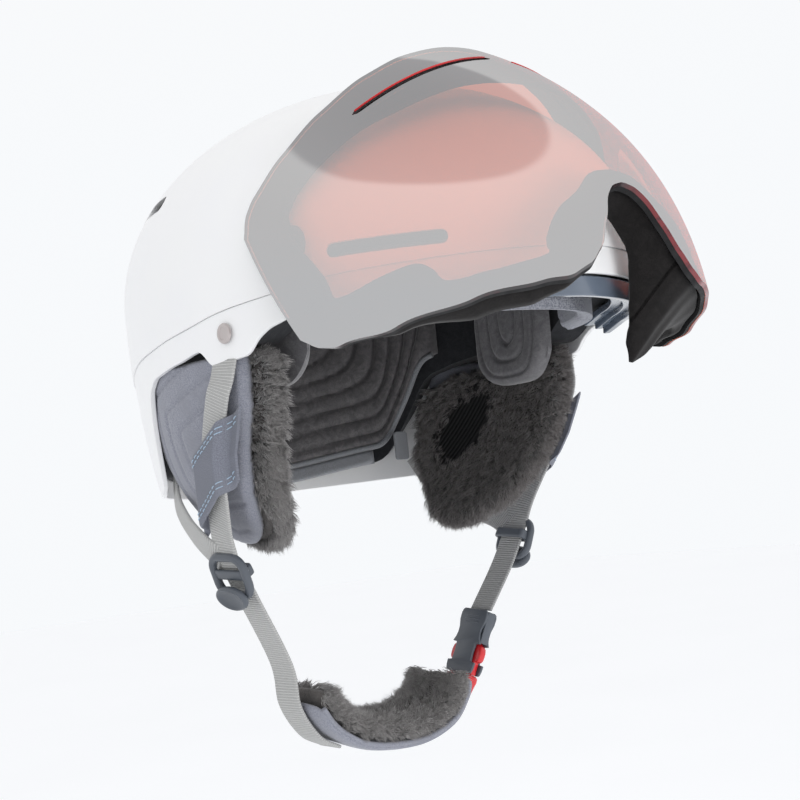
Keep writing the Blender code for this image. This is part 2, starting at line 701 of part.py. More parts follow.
def make_lower_straps():
    slate = ((82, 86, 93), 0.45)
    sides = ((-1, "right", (186, 186, 184), RIGHT_STRAP), (1, "left", (150, 149, 150), LEFT_STRAP))
    for side, label, grey, end in sides:
        down = Vector((side * SLIDER_DOWN[0], *SLIDER_DOWN[1:])).normalized()
        _, width, along = side_axes(down)
        start = Vector((side * SLIDER_AT[0], *SLIDER_AT[1:])) - along * 8 * MM
        path = [start, start + along * 24 * MM] + strap_points(1, end)
        ribbon(f"lower_strap_{label}", path, [tuple(width)] * len(path), (grey, 0.85))
    make_buckle(slate, *side_axes(SOCKET_DOWN))
    ribbon("tongue_strap", strap_points(1, TONGUE_STRAP), [tuple(width)] * 3, ((150, 149, 150), 0.85))


def make_buckle(slate, thick, width, along):
    """A side-release buckle: a socket, a tongue with a middle blade, and two latch arms beside the blade."""
    red = ((196, 32, 38), 0.35)
    origin = Vector(SOCKET_AT)
    axes = (thick, width, along)
    root = axis_at("buckle_release", origin)
    low, high = (-3.8 * MM, -9.8 * MM, 0), (3.8 * MM, 9.8 * MM, SOCKET_LENGTH)
    socket = local_block("buckle_socket", origin, axes, low, high, slate, root)
    hollow = local_block("cut_socket", origin, axes, (-2.3 * MM, -8.4 * MM, 9 * MM),
                         (2.3 * MM, 8.4 * MM, SOCKET_LENGTH + 5 * MM), slate)
    window = local_block("cut_windows", origin, axes, (-2.4 * MM, -15 * MM, 17.5 * MM),
                         (2.4 * MM, 15 * MM, 27.5 * MM), slate)
    cut(socket, [hollow, window])
    mouth = SOCKET_LENGTH
    below = mouth + 0.5 * MM
    local_block("buckle_tongue", origin, axes, (-3.4 * MM, -9.2 * MM, below),
                (3.4 * MM, 9.2 * MM, below + 11 * MM), red)
    local_block("tongue_blade", origin, axes, (-1.6 * MM, -2.2 * MM, mouth - TONGUE_REACH),
                (1.6 * MM, 2.2 * MM, below - GAP), red)
    low, high, button = 4.9 * MM, 7.8 * MM, 10.8 * MM
    outline = ((low, below - GAP), (high, below - GAP), (high, mouth - 6.6 * MM), (button, mouth - 7.4 * MM),
               (button, mouth - 13 * MM), (high - 1.5 * MM, mouth - 17 * MM), (low, mouth - 16 * MM))
    for side, label in ((-1, "front"), (1, "rear")):
        base = [origin + width * side * w + along * s for w, s in outline]
        points = [p + thick * lift for lift in (-1.9 * MM, 1.9 * MM) for p in base]
        count = len(base)
        faces = [tuple(range(count)), tuple(range(count, 2 * count))[::-1]]
        faces += [(i, (i + 1) % count, count + (i + 1) % count, count + i) for i in range(count)]
        squeeze = axis_at(f"latch_squeeze_{label}", base[0])
        add_mesh(f"latch_arm_{label}", points, faces, red, squeeze)


RIGHT_STRAP = ((-65.5, 24.5, -130), (-62, 25.5, -149.5), (-52, 26, -164.5), (-40, 26.5, -171.3))
LEFT_STRAP = ((65.5, 22.8, -121.2),)
TONGUE_STRAP = ((45, 28.6, -164.6), (41.5, 28.6, -169), (34, 28.4, -173))
CHIN_PATH = ((-56, 25.5, -147), (-46, 26, -159), (-27, 27, -169), (4, 28, -172.5), (25, 27.5, -167.5),
             (35, 27, -158), (38, 26.5, -150))


def make_chin_pad():
    fabric = ((112, 115, 124), 0.9)
    fleece = ((92, 89, 87), 0.95)
    path = strap_points(1, CHIN_PATH)
    across = [(0, 1, 0.15)] * len(path)
    layers = (("chin_pad", -2.6, 34, 4.6, fabric), ("chin_pad_fleece", 5, 36, 9.2, fleece))
    for name, lift, width, wall, finish in layers:
        moved = []
        for i, p in enumerate(path):
            along = path[min(i + 1, len(path) - 1)] - path[max(i - 1, 0)]
            moved.append(p + along.cross(Vector(across[0])).normalized() * lift * MM)
        ribbon(name, moved, across, finish, width * MM, wall * MM)


def make_ears():
    fabric = ((125, 127, 137), 0.9)
    for side, label, fur in ((-1, "right", (110, 107, 105)), (1, "left", (78, 76, 76))):
        patch_solid(f"ear_pad_{label}", side, EAR_OUTLINE, 0, 7 * MM, fabric, 3, 2, 1 * MM)
        patch_solid(f"ear_lining_{label}", side, FUR_OUTLINE, 8.5 * MM, 17 * MM, (fur, 0.95), 3, 2, 0)
        patch_solid(f"ear_mesh_{label}", side, MESH_OUTLINE, 17.5 * MM, 18.7 * MM, ((30, 30, 31), 0.8), 2, 2)
        make_strap_loop(side, label)


def main():
    for old in list(bpy.data.objects):
        bpy.data.objects.remove(old, do_unlink=True)
    make_shells()
    make_liners()
    make_visor()
    make_ears()
    make_straps()
    make_lower_straps()
    make_chin_pad()


main()
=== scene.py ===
"""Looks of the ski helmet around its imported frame: shells, visor, pads, fleece, straps and buckle."""

from math import asin, ceil, cos, degrees, exp, hypot, pi, radians, sin, sqrt

import bmesh
import bpy
import numpy as np
from mathutils import Matrix, Vector
from mathutils.geometry import delaunay_2d_cdt


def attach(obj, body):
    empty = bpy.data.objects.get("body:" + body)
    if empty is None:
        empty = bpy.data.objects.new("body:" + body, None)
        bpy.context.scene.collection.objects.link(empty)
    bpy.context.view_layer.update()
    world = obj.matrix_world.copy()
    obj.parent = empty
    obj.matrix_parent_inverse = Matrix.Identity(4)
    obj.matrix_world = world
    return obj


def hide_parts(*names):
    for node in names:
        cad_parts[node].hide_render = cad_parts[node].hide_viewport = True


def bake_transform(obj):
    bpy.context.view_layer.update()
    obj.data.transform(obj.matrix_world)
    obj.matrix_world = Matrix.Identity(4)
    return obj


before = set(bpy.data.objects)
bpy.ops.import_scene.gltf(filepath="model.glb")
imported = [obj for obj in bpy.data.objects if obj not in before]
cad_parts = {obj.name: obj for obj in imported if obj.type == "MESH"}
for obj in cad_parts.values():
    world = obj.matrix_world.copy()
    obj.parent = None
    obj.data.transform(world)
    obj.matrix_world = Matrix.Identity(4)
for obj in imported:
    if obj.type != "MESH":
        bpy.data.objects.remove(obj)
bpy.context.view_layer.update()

MM = 0.001

# The shell family, as the frame's own dimensions have it
SHELL_HALF = (112.4 * MM, 136.2 * MM, 93.8 * MM)
SHELL_MID_Y, SHELL_MID_Z = 5.7 * MM, 40.7 * MM
SHELL_POWER = 2.03
SHELL_LOWER_HALF = 230 * MM
SHELL_WALL = 2.4 * MM
EDGE_HEIGHTS = ((0, 24), (45, 22), (60, 18), (66, 15), (69, 12), (73, 5), (84, 3), (88, 11), (98, 8),
                (110, 5), (115, 0), (118, -14), (120, -30), (123, -44), (130, -48), (180, -50))
LINER_HEIGHTS = ((0, 28), (60, 22), (73, 10), (88, 15), (111, 10), (124, 5), (132, -18), (140, -38),
                 (180, -46))
SEAM_HEIGHTS = ((0, 36), (50, 32), (66, 28), (78, 26), (94, 21), (115, 16), (150, 4), (180, -2))
PAD_OUT = 25.2 * MM

LENS_HALF = (117.7 * MM, 123.2 * MM)
LENS_WALL = 2.0 * MM
LENS_TAPER = (0.072, 0.058)
LENS_TAPER_HEIGHT = 50 * MM
LENS_ORIGIN = (0.0, -31.4 * MM, 16.8 * MM)
LENS_TILT = radians(43.9)
LENS_END, LENS_END_LEAN = 77.5, 0.10
LENS_TOP = ((0, 57), (0.12, 56.5), (0.3, 53.5), (0.46, 48.5), (0.645, 41.5), (0.8, 35.5), (0.93, 30),
            (0.975, 26), (1, 18))
LENS_BOTTOM = ((0, -52), (0.045, -53.5), (0.083, -58), (0.12, -67), (0.175, -77), (0.235, -82), (0.31, -83.5),
               (0.4, -80.5), (0.585, -72.5), (0.79, -61), (0.93, -49), (0.98, -42), (1, -33))
HINGE = (0.0, -58 * MM, 46 * MM)
SIDES = ((-1, "right"), (1, "left"))


# Colour and materials


def lin(*rgb):
    """8-bit display colour to Blender's linear values."""
    return tuple((v / 255 / 12.92 if v <= 10 else ((v / 255 + 0.055) / 1.055) ** 2.4) for v in rgb) + (1.0,)


def node(tree, kind, **inputs):
    made = tree.nodes.new(kind)
    for key, value in inputs.items():
        if key in ("operation", "blend_type", "wave_type", "bands_direction", "feature", "wave_profile",
                   "distance", "data_type", "vector_type", "attribute_name"):
            setattr(made, key, value)
            continue
        made.inputs[key.replace("_", " ") if not key.isdigit() else int(key)].default_value = value
    return made


def ramp(tree, source, stops):
    made = tree.nodes.new("ShaderNodeValToRGB")
    while len(made.color_ramp.elements) < len(stops):
        made.color_ramp.elements.new(0.5)
    for element, (at, colour) in zip(made.color_ramp.elements, stops):
        element.position = at
        element.color = colour if isinstance(colour, tuple) else (colour, colour, colour, 1)
    tree.links.new(source, made.inputs[0])
    return made.outputs[0]


class Paint:
    """One procedural material, built up layer by layer: colour noise, then bump."""

    def __init__(self, name, colour, roughness, metallic=0.0, coat=0.0, sheen=0.0, specular=0.5):
        self.material = bpy.data.materials.new(name)
        self.material.use_nodes = True
        self.tree = self.material.node_tree
        self.shader = self.tree.nodes["Principled BSDF"]
        sockets = self.shader.inputs
        sockets["Base Color"].default_value = colour
        sockets["Roughness"].default_value = roughness
        sockets["Metallic"].default_value = metallic
        sockets["Coat Weight"].default_value = coat
        sockets["Coat Roughness"].default_value = 0.12
        sockets["Sheen Weight"].default_value = sheen
        sockets["Sheen Roughness"].default_value = 0.4
        sockets["Specular IOR Level"].default_value = specular
        self.colour = None
        self.base = colour
        self.bump = None
        self.coords = self.tree.nodes.new("ShaderNodeTexCoord")

    def link(self, a, b):
        self.tree.links.new(a, b)

    def place(self, uv=False, scale=(1, 1, 1), turn=(0, 0, 0)):
        mapping = node(self.tree, "ShaderNodeMapping", Scale=scale, Rotation=turn)
        self.link(self.coords.outputs["UV" if uv else "Object"], mapping.inputs["Vector"])
        return mapping.outputs[0]

    def noise(self, size, detail=3, uv=False, scale=(1, 1, 1), distortion=0.0):
        made = node(self.tree, "ShaderNodeTexNoise", Scale=1 / size, Detail=detail, Distortion=distortion)
        self.link(self.place(uv, scale), made.inputs["Vector"])
        return made.outputs[0]

    def wave(self, size, axis="X", uv=False, distortion=0.0, profile="SIN", turn=(0, 0, 0)):
        made = node(self.tree, "ShaderNodeTexWave", wave_type="BANDS", bands_direction=axis,
                    wave_profile=profile,
                    Scale=0.314159 / size, Distortion=distortion, Detail=1.0)
        self.link(self.place(uv, turn=turn), made.inputs["Vector"])
        return made.outputs[1]

    def cells(self, size, uv=False, feature="F1", scale=(1, 1, 1)):
        made = node(self.tree, "ShaderNodeTexVoronoi", feature=feature, Scale=1 / size)
        self.link(self.place(uv, scale), made.inputs["Vector"])
        return made.outputs[0]

    def math(self, operation, a, b):
        made = node(self.tree, "ShaderNodeMath", operation=operation)
        for i, value in enumerate((a, b)):
            if isinstance(value, (int, float)):
                made.inputs[i].default_value = value
            else:
                self.link(value, made.inputs[i])
        return made.outputs[0]

    def tint(self, factor, colour, low=0.35, high=0.65, kind="MIX"):
        """Mixes another colour in where the factor is high."""
        shade = ramp(self.tree, factor, ((low, 0.0), (high, 1.0)))
        mix = node(self.tree, "ShaderNodeMix", data_type="RGBA", blend_type=kind)
        self.link(shade, mix.inputs[0])
        if self.colour is None:
            mix.inputs[6].default_value = self.base
        else:
            self.link(self.colour, mix.inputs[6])
        mix.inputs[7].default_value = colour
        self.colour = mix.outputs[2]
        self.link(self.colour, self.shader.inputs["Base Color"])
        return self

    def relief(self, height, depth, strength=1.0):
        made = node(self.tree, "ShaderNodeBump", Strength=strength, Distance=depth)
        self.link(height, made.inputs["Height"])
        if self.bump is not None:
            self.link(self.bump, made.inputs["Normal"])
        self.bump = made.outputs[0]
        self.link(self.bump, self.shader.inputs["Normal"])
        return self

    def rough(self, factor, low, high):
        self.link(ramp(self.tree, factor, ((0.3, low), (0.7, high))), self.shader.inputs["Roughness"])
        return self


def plastic(name, colour, roughness, grain=0.25, coat=0.0, other=None, metallic=0.0):
    """Moulded plastic: a fine grain and a slight variation of gloss."""
    made = Paint(name, colour, roughness, metallic=metallic, coat=coat)
    made.tint(made.noise(30 * MM, 2), other or tuple(min(1, c * 0.94) for c in colour[:3]) + (1,))
    made.rough(made.noise(6 * MM, 4), roughness * 0.85, roughness * 1.15)
    made.relief(made.noise(0.35 * MM, 2), 0.01 * MM, grain)
    return made.material


def cloth(name, colour, other, thread=0.55 * MM, depth=0.12 * MM, heather=0.35 * MM, sheen=0.25, uv=False):
    """Woven or knitted cloth: two crossing sets of threads, flecked yarn and slow shading."""
    made = Paint(name, colour, 0.92, sheen=sheen, specular=0.25)
    made.tint(made.noise(heather, 2, uv), other, 0.42, 0.6)
    made.tint(made.noise(14 * MM, 3), tuple(c * 0.82 for c in colour[:3]) + (1,), 0.45, 0.75)
    across = made.wave(thread, "X", uv, 0.5)
    along = made.wave(thread, "Z" if not uv else "Y", uv, 0.5)
    made.relief(made.math("MULTIPLY", across, along), depth, 0.7)
    made.relief(made.noise(1.6 * MM, 3, uv), 0.15 * MM, 0.35)
    return made.material


def pile(name, colour, other, sheen=0.35, depth=0.5 * MM):
    """Velour and brushed foam: short pile with patches brushed both ways."""
    made = Paint(name, colour, 0.97, sheen=sheen, specular=0.15)
    made.tint(made.noise(5 * MM, 4, distortion=1.5), other, 0.35, 0.72)
    made.tint(made.noise(0.5 * MM, 2), tuple(c * 0.55 for c in colour[:3]) + (1,), 0.45, 0.8)
    made.relief(made.noise(0.45 * MM, 3), depth * 0.5, 0.7)
    made.relief(made.noise(3.2 * MM, 4, distortion=2.0), depth, 0.45)
    return made.material


def webbing_paint(name, colour, other):
    """Ribbed webbing: ribs across its length, with u along and v across in metres."""
    made = Paint(name, colour, 0.75, sheen=0.15, specular=0.35)
    ribs = made.wave(1.25 * MM, "X", True, 0.15)
    made.tint(ribs, other, 0.05, 0.35)
    made.tint(made.noise(0.4 * MM, 2, True), tuple(c * 0.86 for c in colour[:3]) + (1,), 0.45, 0.75)
    made.relief(ribs, 0.28 * MM, 0.9)
    made.relief(made.wave(0.55 * MM, "Y", True, 0.2), 0.06 * MM, 0.5)
    return made.material


# Geometry helpers


def between(table, x):
    for (x0, y0), (x1, y1) in zip(table, table[1:]):
        if x <= x1:
            return y0 + (y1 - y0) * (x - x0) / (x1 - x0)
    return table[-1][1]


def smooth_between(table, x):
    for (x0, y0), (x1, y1) in zip(table, table[1:]):
        if x <= x1:
            t = (x - x0) / (x1 - x0)
            return y0 + (y1 - y0) * (t + t * t * (3 - 2 * t)) / 2
    return table[-1][1]


def rounded(table, x, reach):
    """The smooth table averaged over a short reach, so its corners are round."""
    steps = 7
    places = [x + reach * (2 * i / (steps - 1) - 1) for i in range(steps)]
    return sum(smooth_between(table, abs(place)) for place in places) / steps


def spread(first, last, count):
    return [first + (last - first) * i / (count - 1) for i in range(count)]


def step(low, high, x):
    t = min(1.0, max(0.0, (x - low) / (high - low)))
    return t * t * (3 - 2 * t)


def linked(name, data):
    made = bpy.data.objects.new(name, data)
    bpy.context.scene.collection.objects.link(made)
    return made


def close_mesh(mesh, smooth, merge=False):
    """Turns the faces outwards and shades them smooth up to an angle; merge joins points that meet."""
    work = bmesh.new()
    work.from_mesh(mesh)
    if merge:
        bmesh.ops.remove_doubles(work, verts=work.verts, dist=1e-6)
    bmesh.ops.recalc_face_normals(work, faces=work.faces)
    if work.calc_volume(signed=True) < 0:
        bmesh.ops.reverse_faces(work, faces=work.faces)
    work.to_mesh(mesh)
    work.free()
    mesh.shade_smooth()
    mesh.set_sharp_from_angle(angle=radians(smooth))


def mesh_piece(name, points, faces, material, smooth=50, uvs=None, inner=None):
    """A mesh piece with its faces turned outwards. inner is a second material, for the faces it names."""
    mesh = bpy.data.meshes.new(name)
    mesh.from_pydata([tuple(p) for p in points], [], faces)
    if uvs is not None:
        layer = mesh.uv_layers.new(name="UV")
        corner = np.zeros(len(mesh.loops), np.int32)
        mesh.loops.foreach_get("vertex_index", corner)
        layer.data.foreach_set("uv", np.array(uvs, np.float32)[corner].ravel())
    if inner is not None:
        mesh.materials.append(material)
        mesh.materials.append(inner[0])
        mesh.polygons.foreach_set("material_index", np.array(inner[1], np.int32))
    else:
        mesh.materials.append(material)
    close_mesh(mesh, smooth, merge=True)
    return linked(name, mesh)


def finish_piece(piece, body, nodes=()):
    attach(piece, body)
    if nodes:
        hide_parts(*nodes)
    return piece


def grid_faces(rows, columns, start=0, around=False, flip=False):
    faces = []
    for i in range(rows - 1):
        for j in range(columns if around else columns - 1):
            k = (j + 1) % columns
            a, b = start + i * columns + j, start + i * columns + k
            face = (a, b, b + columns, a + columns)
            faces.append(face[::-1] if flip else face)
    return faces


def sheet(name, outer, inner, material, around=False, uv=None, smooth=50, back=None):
    """A closed body between two grids of points. back is a second material for the inner grid and the rim."""
    rows, columns = len(outer), len(outer[0])
    points = [p for row in outer for p in row] + [p for row in inner for p in row]
    other = rows * columns
    faces = grid_faces(rows, columns, 0, around)
    front = len(faces)
    faces += grid_faces(rows, columns, other, around, True)
    last = (rows - 1) * columns
    for a in range(columns if around else columns - 1):
        b = (a + 1) % columns
        faces.append((b, a, other + a, other + b))
        faces.append((last + a, last + b, other + last + b, other + last + a))
    if not around:
        for i in range(rows - 1):
            a, b = i * columns, (i + 1) * columns
            faces.append((a, b, other + b, other + a))
            a, b = a + columns - 1, b + columns - 1
            faces.append((b, a, other + a, other + b))
    uvs = None if uv is None else list(uv) + list(uv)
    marks = None if back is None else (back, [0] * front + [1] * (len(faces) - front))
    return mesh_piece(name, points, faces, material, smooth, uvs, marks)


def sweep(name, stations, material, closed=False, uv=None, smooth=50):
    """A closed body: a loop of corners carried through the stations."""
    count, length = len(stations[0]), len(stations)
    points = [p for station in stations for p in station]
    faces = []
    for i in range(length if closed else length - 1):
        for j in range(count):
            k = (j + 1) % count
            a, b = i * count, ((i + 1) % length) * count
            faces.append((a + j, a + k, b + k, b + j))
    if not closed:
        faces.append(tuple(range(count))[::-1])
        faces.append(tuple((length - 1) * count + j for j in range(count)))
    return mesh_piece(name, points, faces, material, smooth, uv)


def bevel(obj, width, segments=2, angle=35):
    made = obj.modifiers.new("edge", "BEVEL")
    made.width, made.segments = width, segments
    made.limit_method, made.angle_limit = "ANGLE", radians(angle)
    made.harden_normals = False
    return obj


def carve(obj, cutters):
    """Cuts the cutters out of obj for good, and removes them."""
    for cutter in cutters:
        made = obj.modifiers.new("cut", "BOOLEAN")
        made.operation, made.object = "DIFFERENCE", cutter
    bpy.context.view_layer.update()
    graph = bpy.context.evaluated_depsgraph_get()
    mesh = bpy.data.meshes.new_from_object(obj.evaluated_get(graph))
    obj.modifiers.clear()
    obj.data = mesh
    for cutter in cutters:
        bpy.data.objects.remove(cutter, do_unlink=True)
    return obj


def tube(name, path, radius, material, sides=8, closed=False):
    """A round tube along a path of points, its radius a number or a function of the share of the way."""
    stations, count = [], len(path)
    normal = None
    for i, p in enumerate(path):
        ahead = path[(i + 1) % count] if closed else path[min(i + 1, count - 1)]
        behind = path[i - 1] if closed else path[max(i - 1, 0)]
        along = (Vector(ahead) - Vector(behind)).normalized()
        if normal is None:
            normal = along.orthogonal().normalized()
        normal = (normal - along * normal.dot(along)).normalized()
        side = along.cross(normal)
        r = radius(i / (count - 1)) if callable(radius) else radius
        stations.append([Vector(p) + (normal * cos(2 * pi * k / sides) + side * sin(2 * pi * k / sides)) * r
                         for k in range(sides)])
    return sweep(name, stations, material, closed)


# The shell family


def half_height(offset, height):
    return SHELL_HALF[2] - offset if height > SHELL_MID_Z else SHELL_LOWER_HALF


def shell_point(turn, height, offset):
    s, c = sin(radians(turn)), cos(radians(turn))
    a, b = SHELL_HALF[0] - offset, SHELL_HALF[1] - offset
    reach = ((abs(s) / a) ** SHELL_POWER + (abs(c) / b) ** SHELL_POWER) ** (-1 / SHELL_POWER)
    up = min(abs(height - SHELL_MID_Z) / half_height(offset, height), 1.0)
    reach *= (1 - up**SHELL_POWER) ** (1 / SHELL_POWER)
    return Vector((reach * s, SHELL_MID_Y - reach * c, height))


def shell_rows(low, high, offset, count):
    """Heights up the shell, evenly spaced in angle."""
    def lift(height):
        part = min(1.0, abs(height - SHELL_MID_Z) / half_height(offset, height))
        return asin(part ** (SHELL_POWER / 2)) * (1 if height >= SHELL_MID_Z else -1)

    heights = []
    for i in range(count):
        angle = lift(low) + (lift(high) - lift(low)) * i / (count - 1)
        half = half_height(offset, SHELL_MID_Z + angle)
        rise = abs(sin(angle)) ** (2 / SHELL_POWER) * (1 if angle >= 0 else -1)
        heights.append(SHELL_MID_Z + half * rise)
    return heights


def fold(turn):
    return abs((turn + 180) % 360 - 180)


def edge_height(turn):
    return rounded(EDGE_HEIGHTS, fold(turn), 1.1) * MM


def liner_height(turn):
    return rounded(LINER_HEIGHTS, fold(turn), 3) * MM


def seam_height(turn):
    return rounded(SEAM_HEIGHTS, fold(turn), 5) * MM


def shell_x(y, z, offset=0.0):
    a, b, c = SHELL_HALF[0] - offset, SHELL_HALF[1] - offset, half_height(offset, z)
    left = 1 - (abs(y - SHELL_MID_Y) / b) ** SHELL_POWER - (abs(z - SHELL_MID_Z) / c) ** SHELL_POWER
    return a * max(left, 0.0) ** (1 / SHELL_POWER)


def dome(name, offset, wall, low, material, columns, rows, back=None):
    """A closed cap of the family from a low edge up to the crown."""
    turns = [360 * j / columns for j in range(columns)]
    points, faces, marks = [], [], []
    for inset in (offset, offset + wall):
        start, crown = len(points), SHELL_MID_Z + SHELL_HALF[2] - inset
        grid = [[shell_point(t, z, inset) for z in shell_rows(low(t), crown - 0.1 * MM, inset, rows)]
                for t in turns]
        points += [grid[j][i] for i in range(rows) for j in range(columns)]
        faces += grid_faces(rows, columns, start, True, inset != offset)
        points.append(Vector((0, SHELL_MID_Y, crown)))
        top, ring = len(points) - 1, start + (rows - 1) * columns
        for j in range(columns):
            face = (ring + j, ring + (j + 1) % columns, top)
            faces.append(face if inset == offset else face[::-1])
        marks += [0 if inset == offset else 1] * (len(faces) - len(marks))
    other = rows * columns + 1
    for j in range(columns):
        k = (j + 1) % columns
        faces.append((k, j, other + j, other + k))
        marks.append(0)
    return mesh_piece(name, points, faces, material, 50, None, None if back is None else (back, marks))


def band(name, offset, wall, low, high, turns, material, rows, around=False, back=None):
    sides = []
    for inset in (offset, offset + wall):
        grid = [[shell_point(t, z, inset) for z in shell_rows(low(t), high(t), inset, rows)] for t in turns]
        sides.append([[grid[j][i] for j in range(len(turns))] for i in range(rows)])
    return sheet(name, sides[0], sides[1], material, around, back=back)


# Camera and studio


def make_camera():
    turn, lift, roll = radians(-43.2), radians(-4.13), radians(-6.10)
    target, distance, focal = Vector((-0.5, -3.4, -13.8)) * MM, 717.9 * MM, 1503
    back = Vector((sin(turn) * cos(lift), -cos(turn) * cos(lift), sin(lift)))
    side = Vector((cos(turn), sin(turn), 0))
    up = back.cross(side)
    right = side * cos(roll) + up * sin(roll)
    above = up * cos(roll) - side * sin(roll)
    place = Matrix((right, above, back)).transposed().to_4x4()
    place.translation = target + back * distance
    lens = bpy.data.cameras.new("camera")
    lens.lens, lens.sensor_width, lens.clip_end = 36 * focal / 800, 36, 50
    camera = bpy.data.objects.new("camera", lens)
    camera.matrix_world = place
    bpy.context.scene.collection.objects.link(camera)
    bpy.context.scene.camera = camera
    return place


def area_light(name, at, aim, size, power, spread_angle=160, colour=(1, 1, 1)):
    light = bpy.data.lights.new(name, "AREA")
    light.shape, light.size, light.size_y = "RECTANGLE", size[0], size[1]
    light.energy, light.color, light.spread = power, colour, radians(spread_angle)
    made = bpy.data.objects.new(name, light)
    made.location = at
    made.rotation_euler = (Vector(aim) - Vector(at)).to_track_quat("-Z", "Y").to_euler()
    made.visible_glossy = False
    bpy.context.scene.collection.objects.link(made)


def make_studio():
    scene = bpy.context.scene
    world = bpy.data.worlds.new("studio")
    scene.world = world
    world.use_nodes = True
    tree = world.node_tree
    coords = tree.nodes.new("ShaderNodeTexCoord")
    split = tree.nodes.new("ShaderNodeSeparateXYZ")
    tree.links.new(coords.outputs["Generated"], split.inputs[0])
    rise = node(tree, "ShaderNodeMath", operation="MULTIPLY_ADD")
    rise.inputs[1].default_value, rise.inputs[2].default_value = 0.5, 0.5
    tree.links.new(split.outputs[2], rise.inputs[0])
    pale = (0.935, 0.952, 0.972, 1)
    sky = ramp(tree, rise.outputs[0],
               ((0.0, (0.62, 0.63, 0.65, 1)), (0.30, (0.85, 0.865, 0.885, 1)), (0.44, pale),
                                       (0.62, pale), (0.80, (0.95, 0.95, 0.955, 1)),
                (0.905, (0.99, 0.99, 0.99, 1)),
                                       (0.915, (0.66, 0.66, 0.67, 1)), (1.0, (0.60, 0.60, 0.61, 1))))
    tree.links.new(sky, tree.nodes["Background"].inputs[0])
    tree.nodes["Background"].inputs[1].default_value = 1.0
    scene.view_settings.view_transform = "Standard"
    floor_paint = Paint("floor", (0.93, 0.94, 0.955, 1), 0.9, specular=0.1)
    floor_paint.tint(floor_paint.noise(400 * MM, 2), (0.92, 0.93, 0.945, 1))
    floor_paint.shader.inputs["Emission Color"].default_value = (0.95, 0.96, 0.975, 1)
    floor_paint.shader.inputs["Emission Strength"].default_value = 0.15
    floor = mesh_piece("floor", [(-9, -9, -0.62), (9, -9, -0.62), (9, 9, -0.62), (-9, 9, -0.62),
                                 (-9, -9, -0.64), (9, -9, -0.64), (9, 9, -0.64), (-9, 9, -0.64)],
                       [(0, 1, 2, 3), (7, 6, 5, 4), (0, 4, 5, 1), (1, 5, 6, 2), (2, 6, 7, 3), (3, 7, 4, 0)],
                       floor_paint.material)
    area_light("key", (-0.4, -0.9, 1.6), (0, 0, 0.03), (1.2, 1.2), 4.6)
    area_light("low", (0.2, -1.7, -0.30), (0, 0, -0.05), (1.0, 0.5), 5.5)


make_camera()
make_studio()


# Regions of a curved face, drawn on its unrolled plane


def inside(loop, points):
    """Which of the points are inside the loop."""
    loop, points = np.array(loop, float), np.array(points, float)
    found = np.zeros(len(points), bool)
    for (x0, y0), (x1, y1) in zip(loop, np.roll(loop, -1, axis=0)):
        if y0 == y1:
            continue
        crosses = (points[:, 1] > y0) != (points[:, 1] > y1)
        reach = x0 + (points[:, 1] - y0) * (x1 - x0) / (y1 - y0)
        found ^= crosses & (points[:, 0] < reach)
    return found


def resample(loop, pitch):
    """Points along the loop, no further apart than the pitch."""
    made = []
    for (x0, y0), (x1, y1) in zip(loop, loop[1:] + loop[:1]):
        count = max(1, ceil(hypot(x1 - x0, y1 - y0) / pitch))
        made += [(x0 + (x1 - x0) * i / count, y0 + (y1 - y0) * i / count) for i in range(count)]
    return made


def near_loop(loop, points, reach):
    loop = np.array(loop)
    found = np.zeros(len(points), bool)
    for start in range(0, len(points), 2000):
        part = points[start:start + 2000]
        far = np.linalg.norm(part[:, None] - loop[None], axis=2)
        found[start:start + 2000] = far.min(axis=1) < reach
    return found


def round_loop(points, steps):
    """A closed smooth curve through the given points."""
    count, made = len(points), []
    for i in range(count):
        a, b, c, d = (points[(i + k) % count] for k in (-1, 0, 1, 2))
        for j in range(steps):
            t = j / steps
            made.append(tuple(curve_value(a[k], b[k], c[k], d[k], t) for k in (0, 1)))
    return made


def curve_value(a, b, c, d, t):
    return 0.5 * (2 * b + (c - a) * t + (2 * a - 5 * b + 4 * c - d) * t * t + (3 * b - a - 3 * c + d) * t**3)


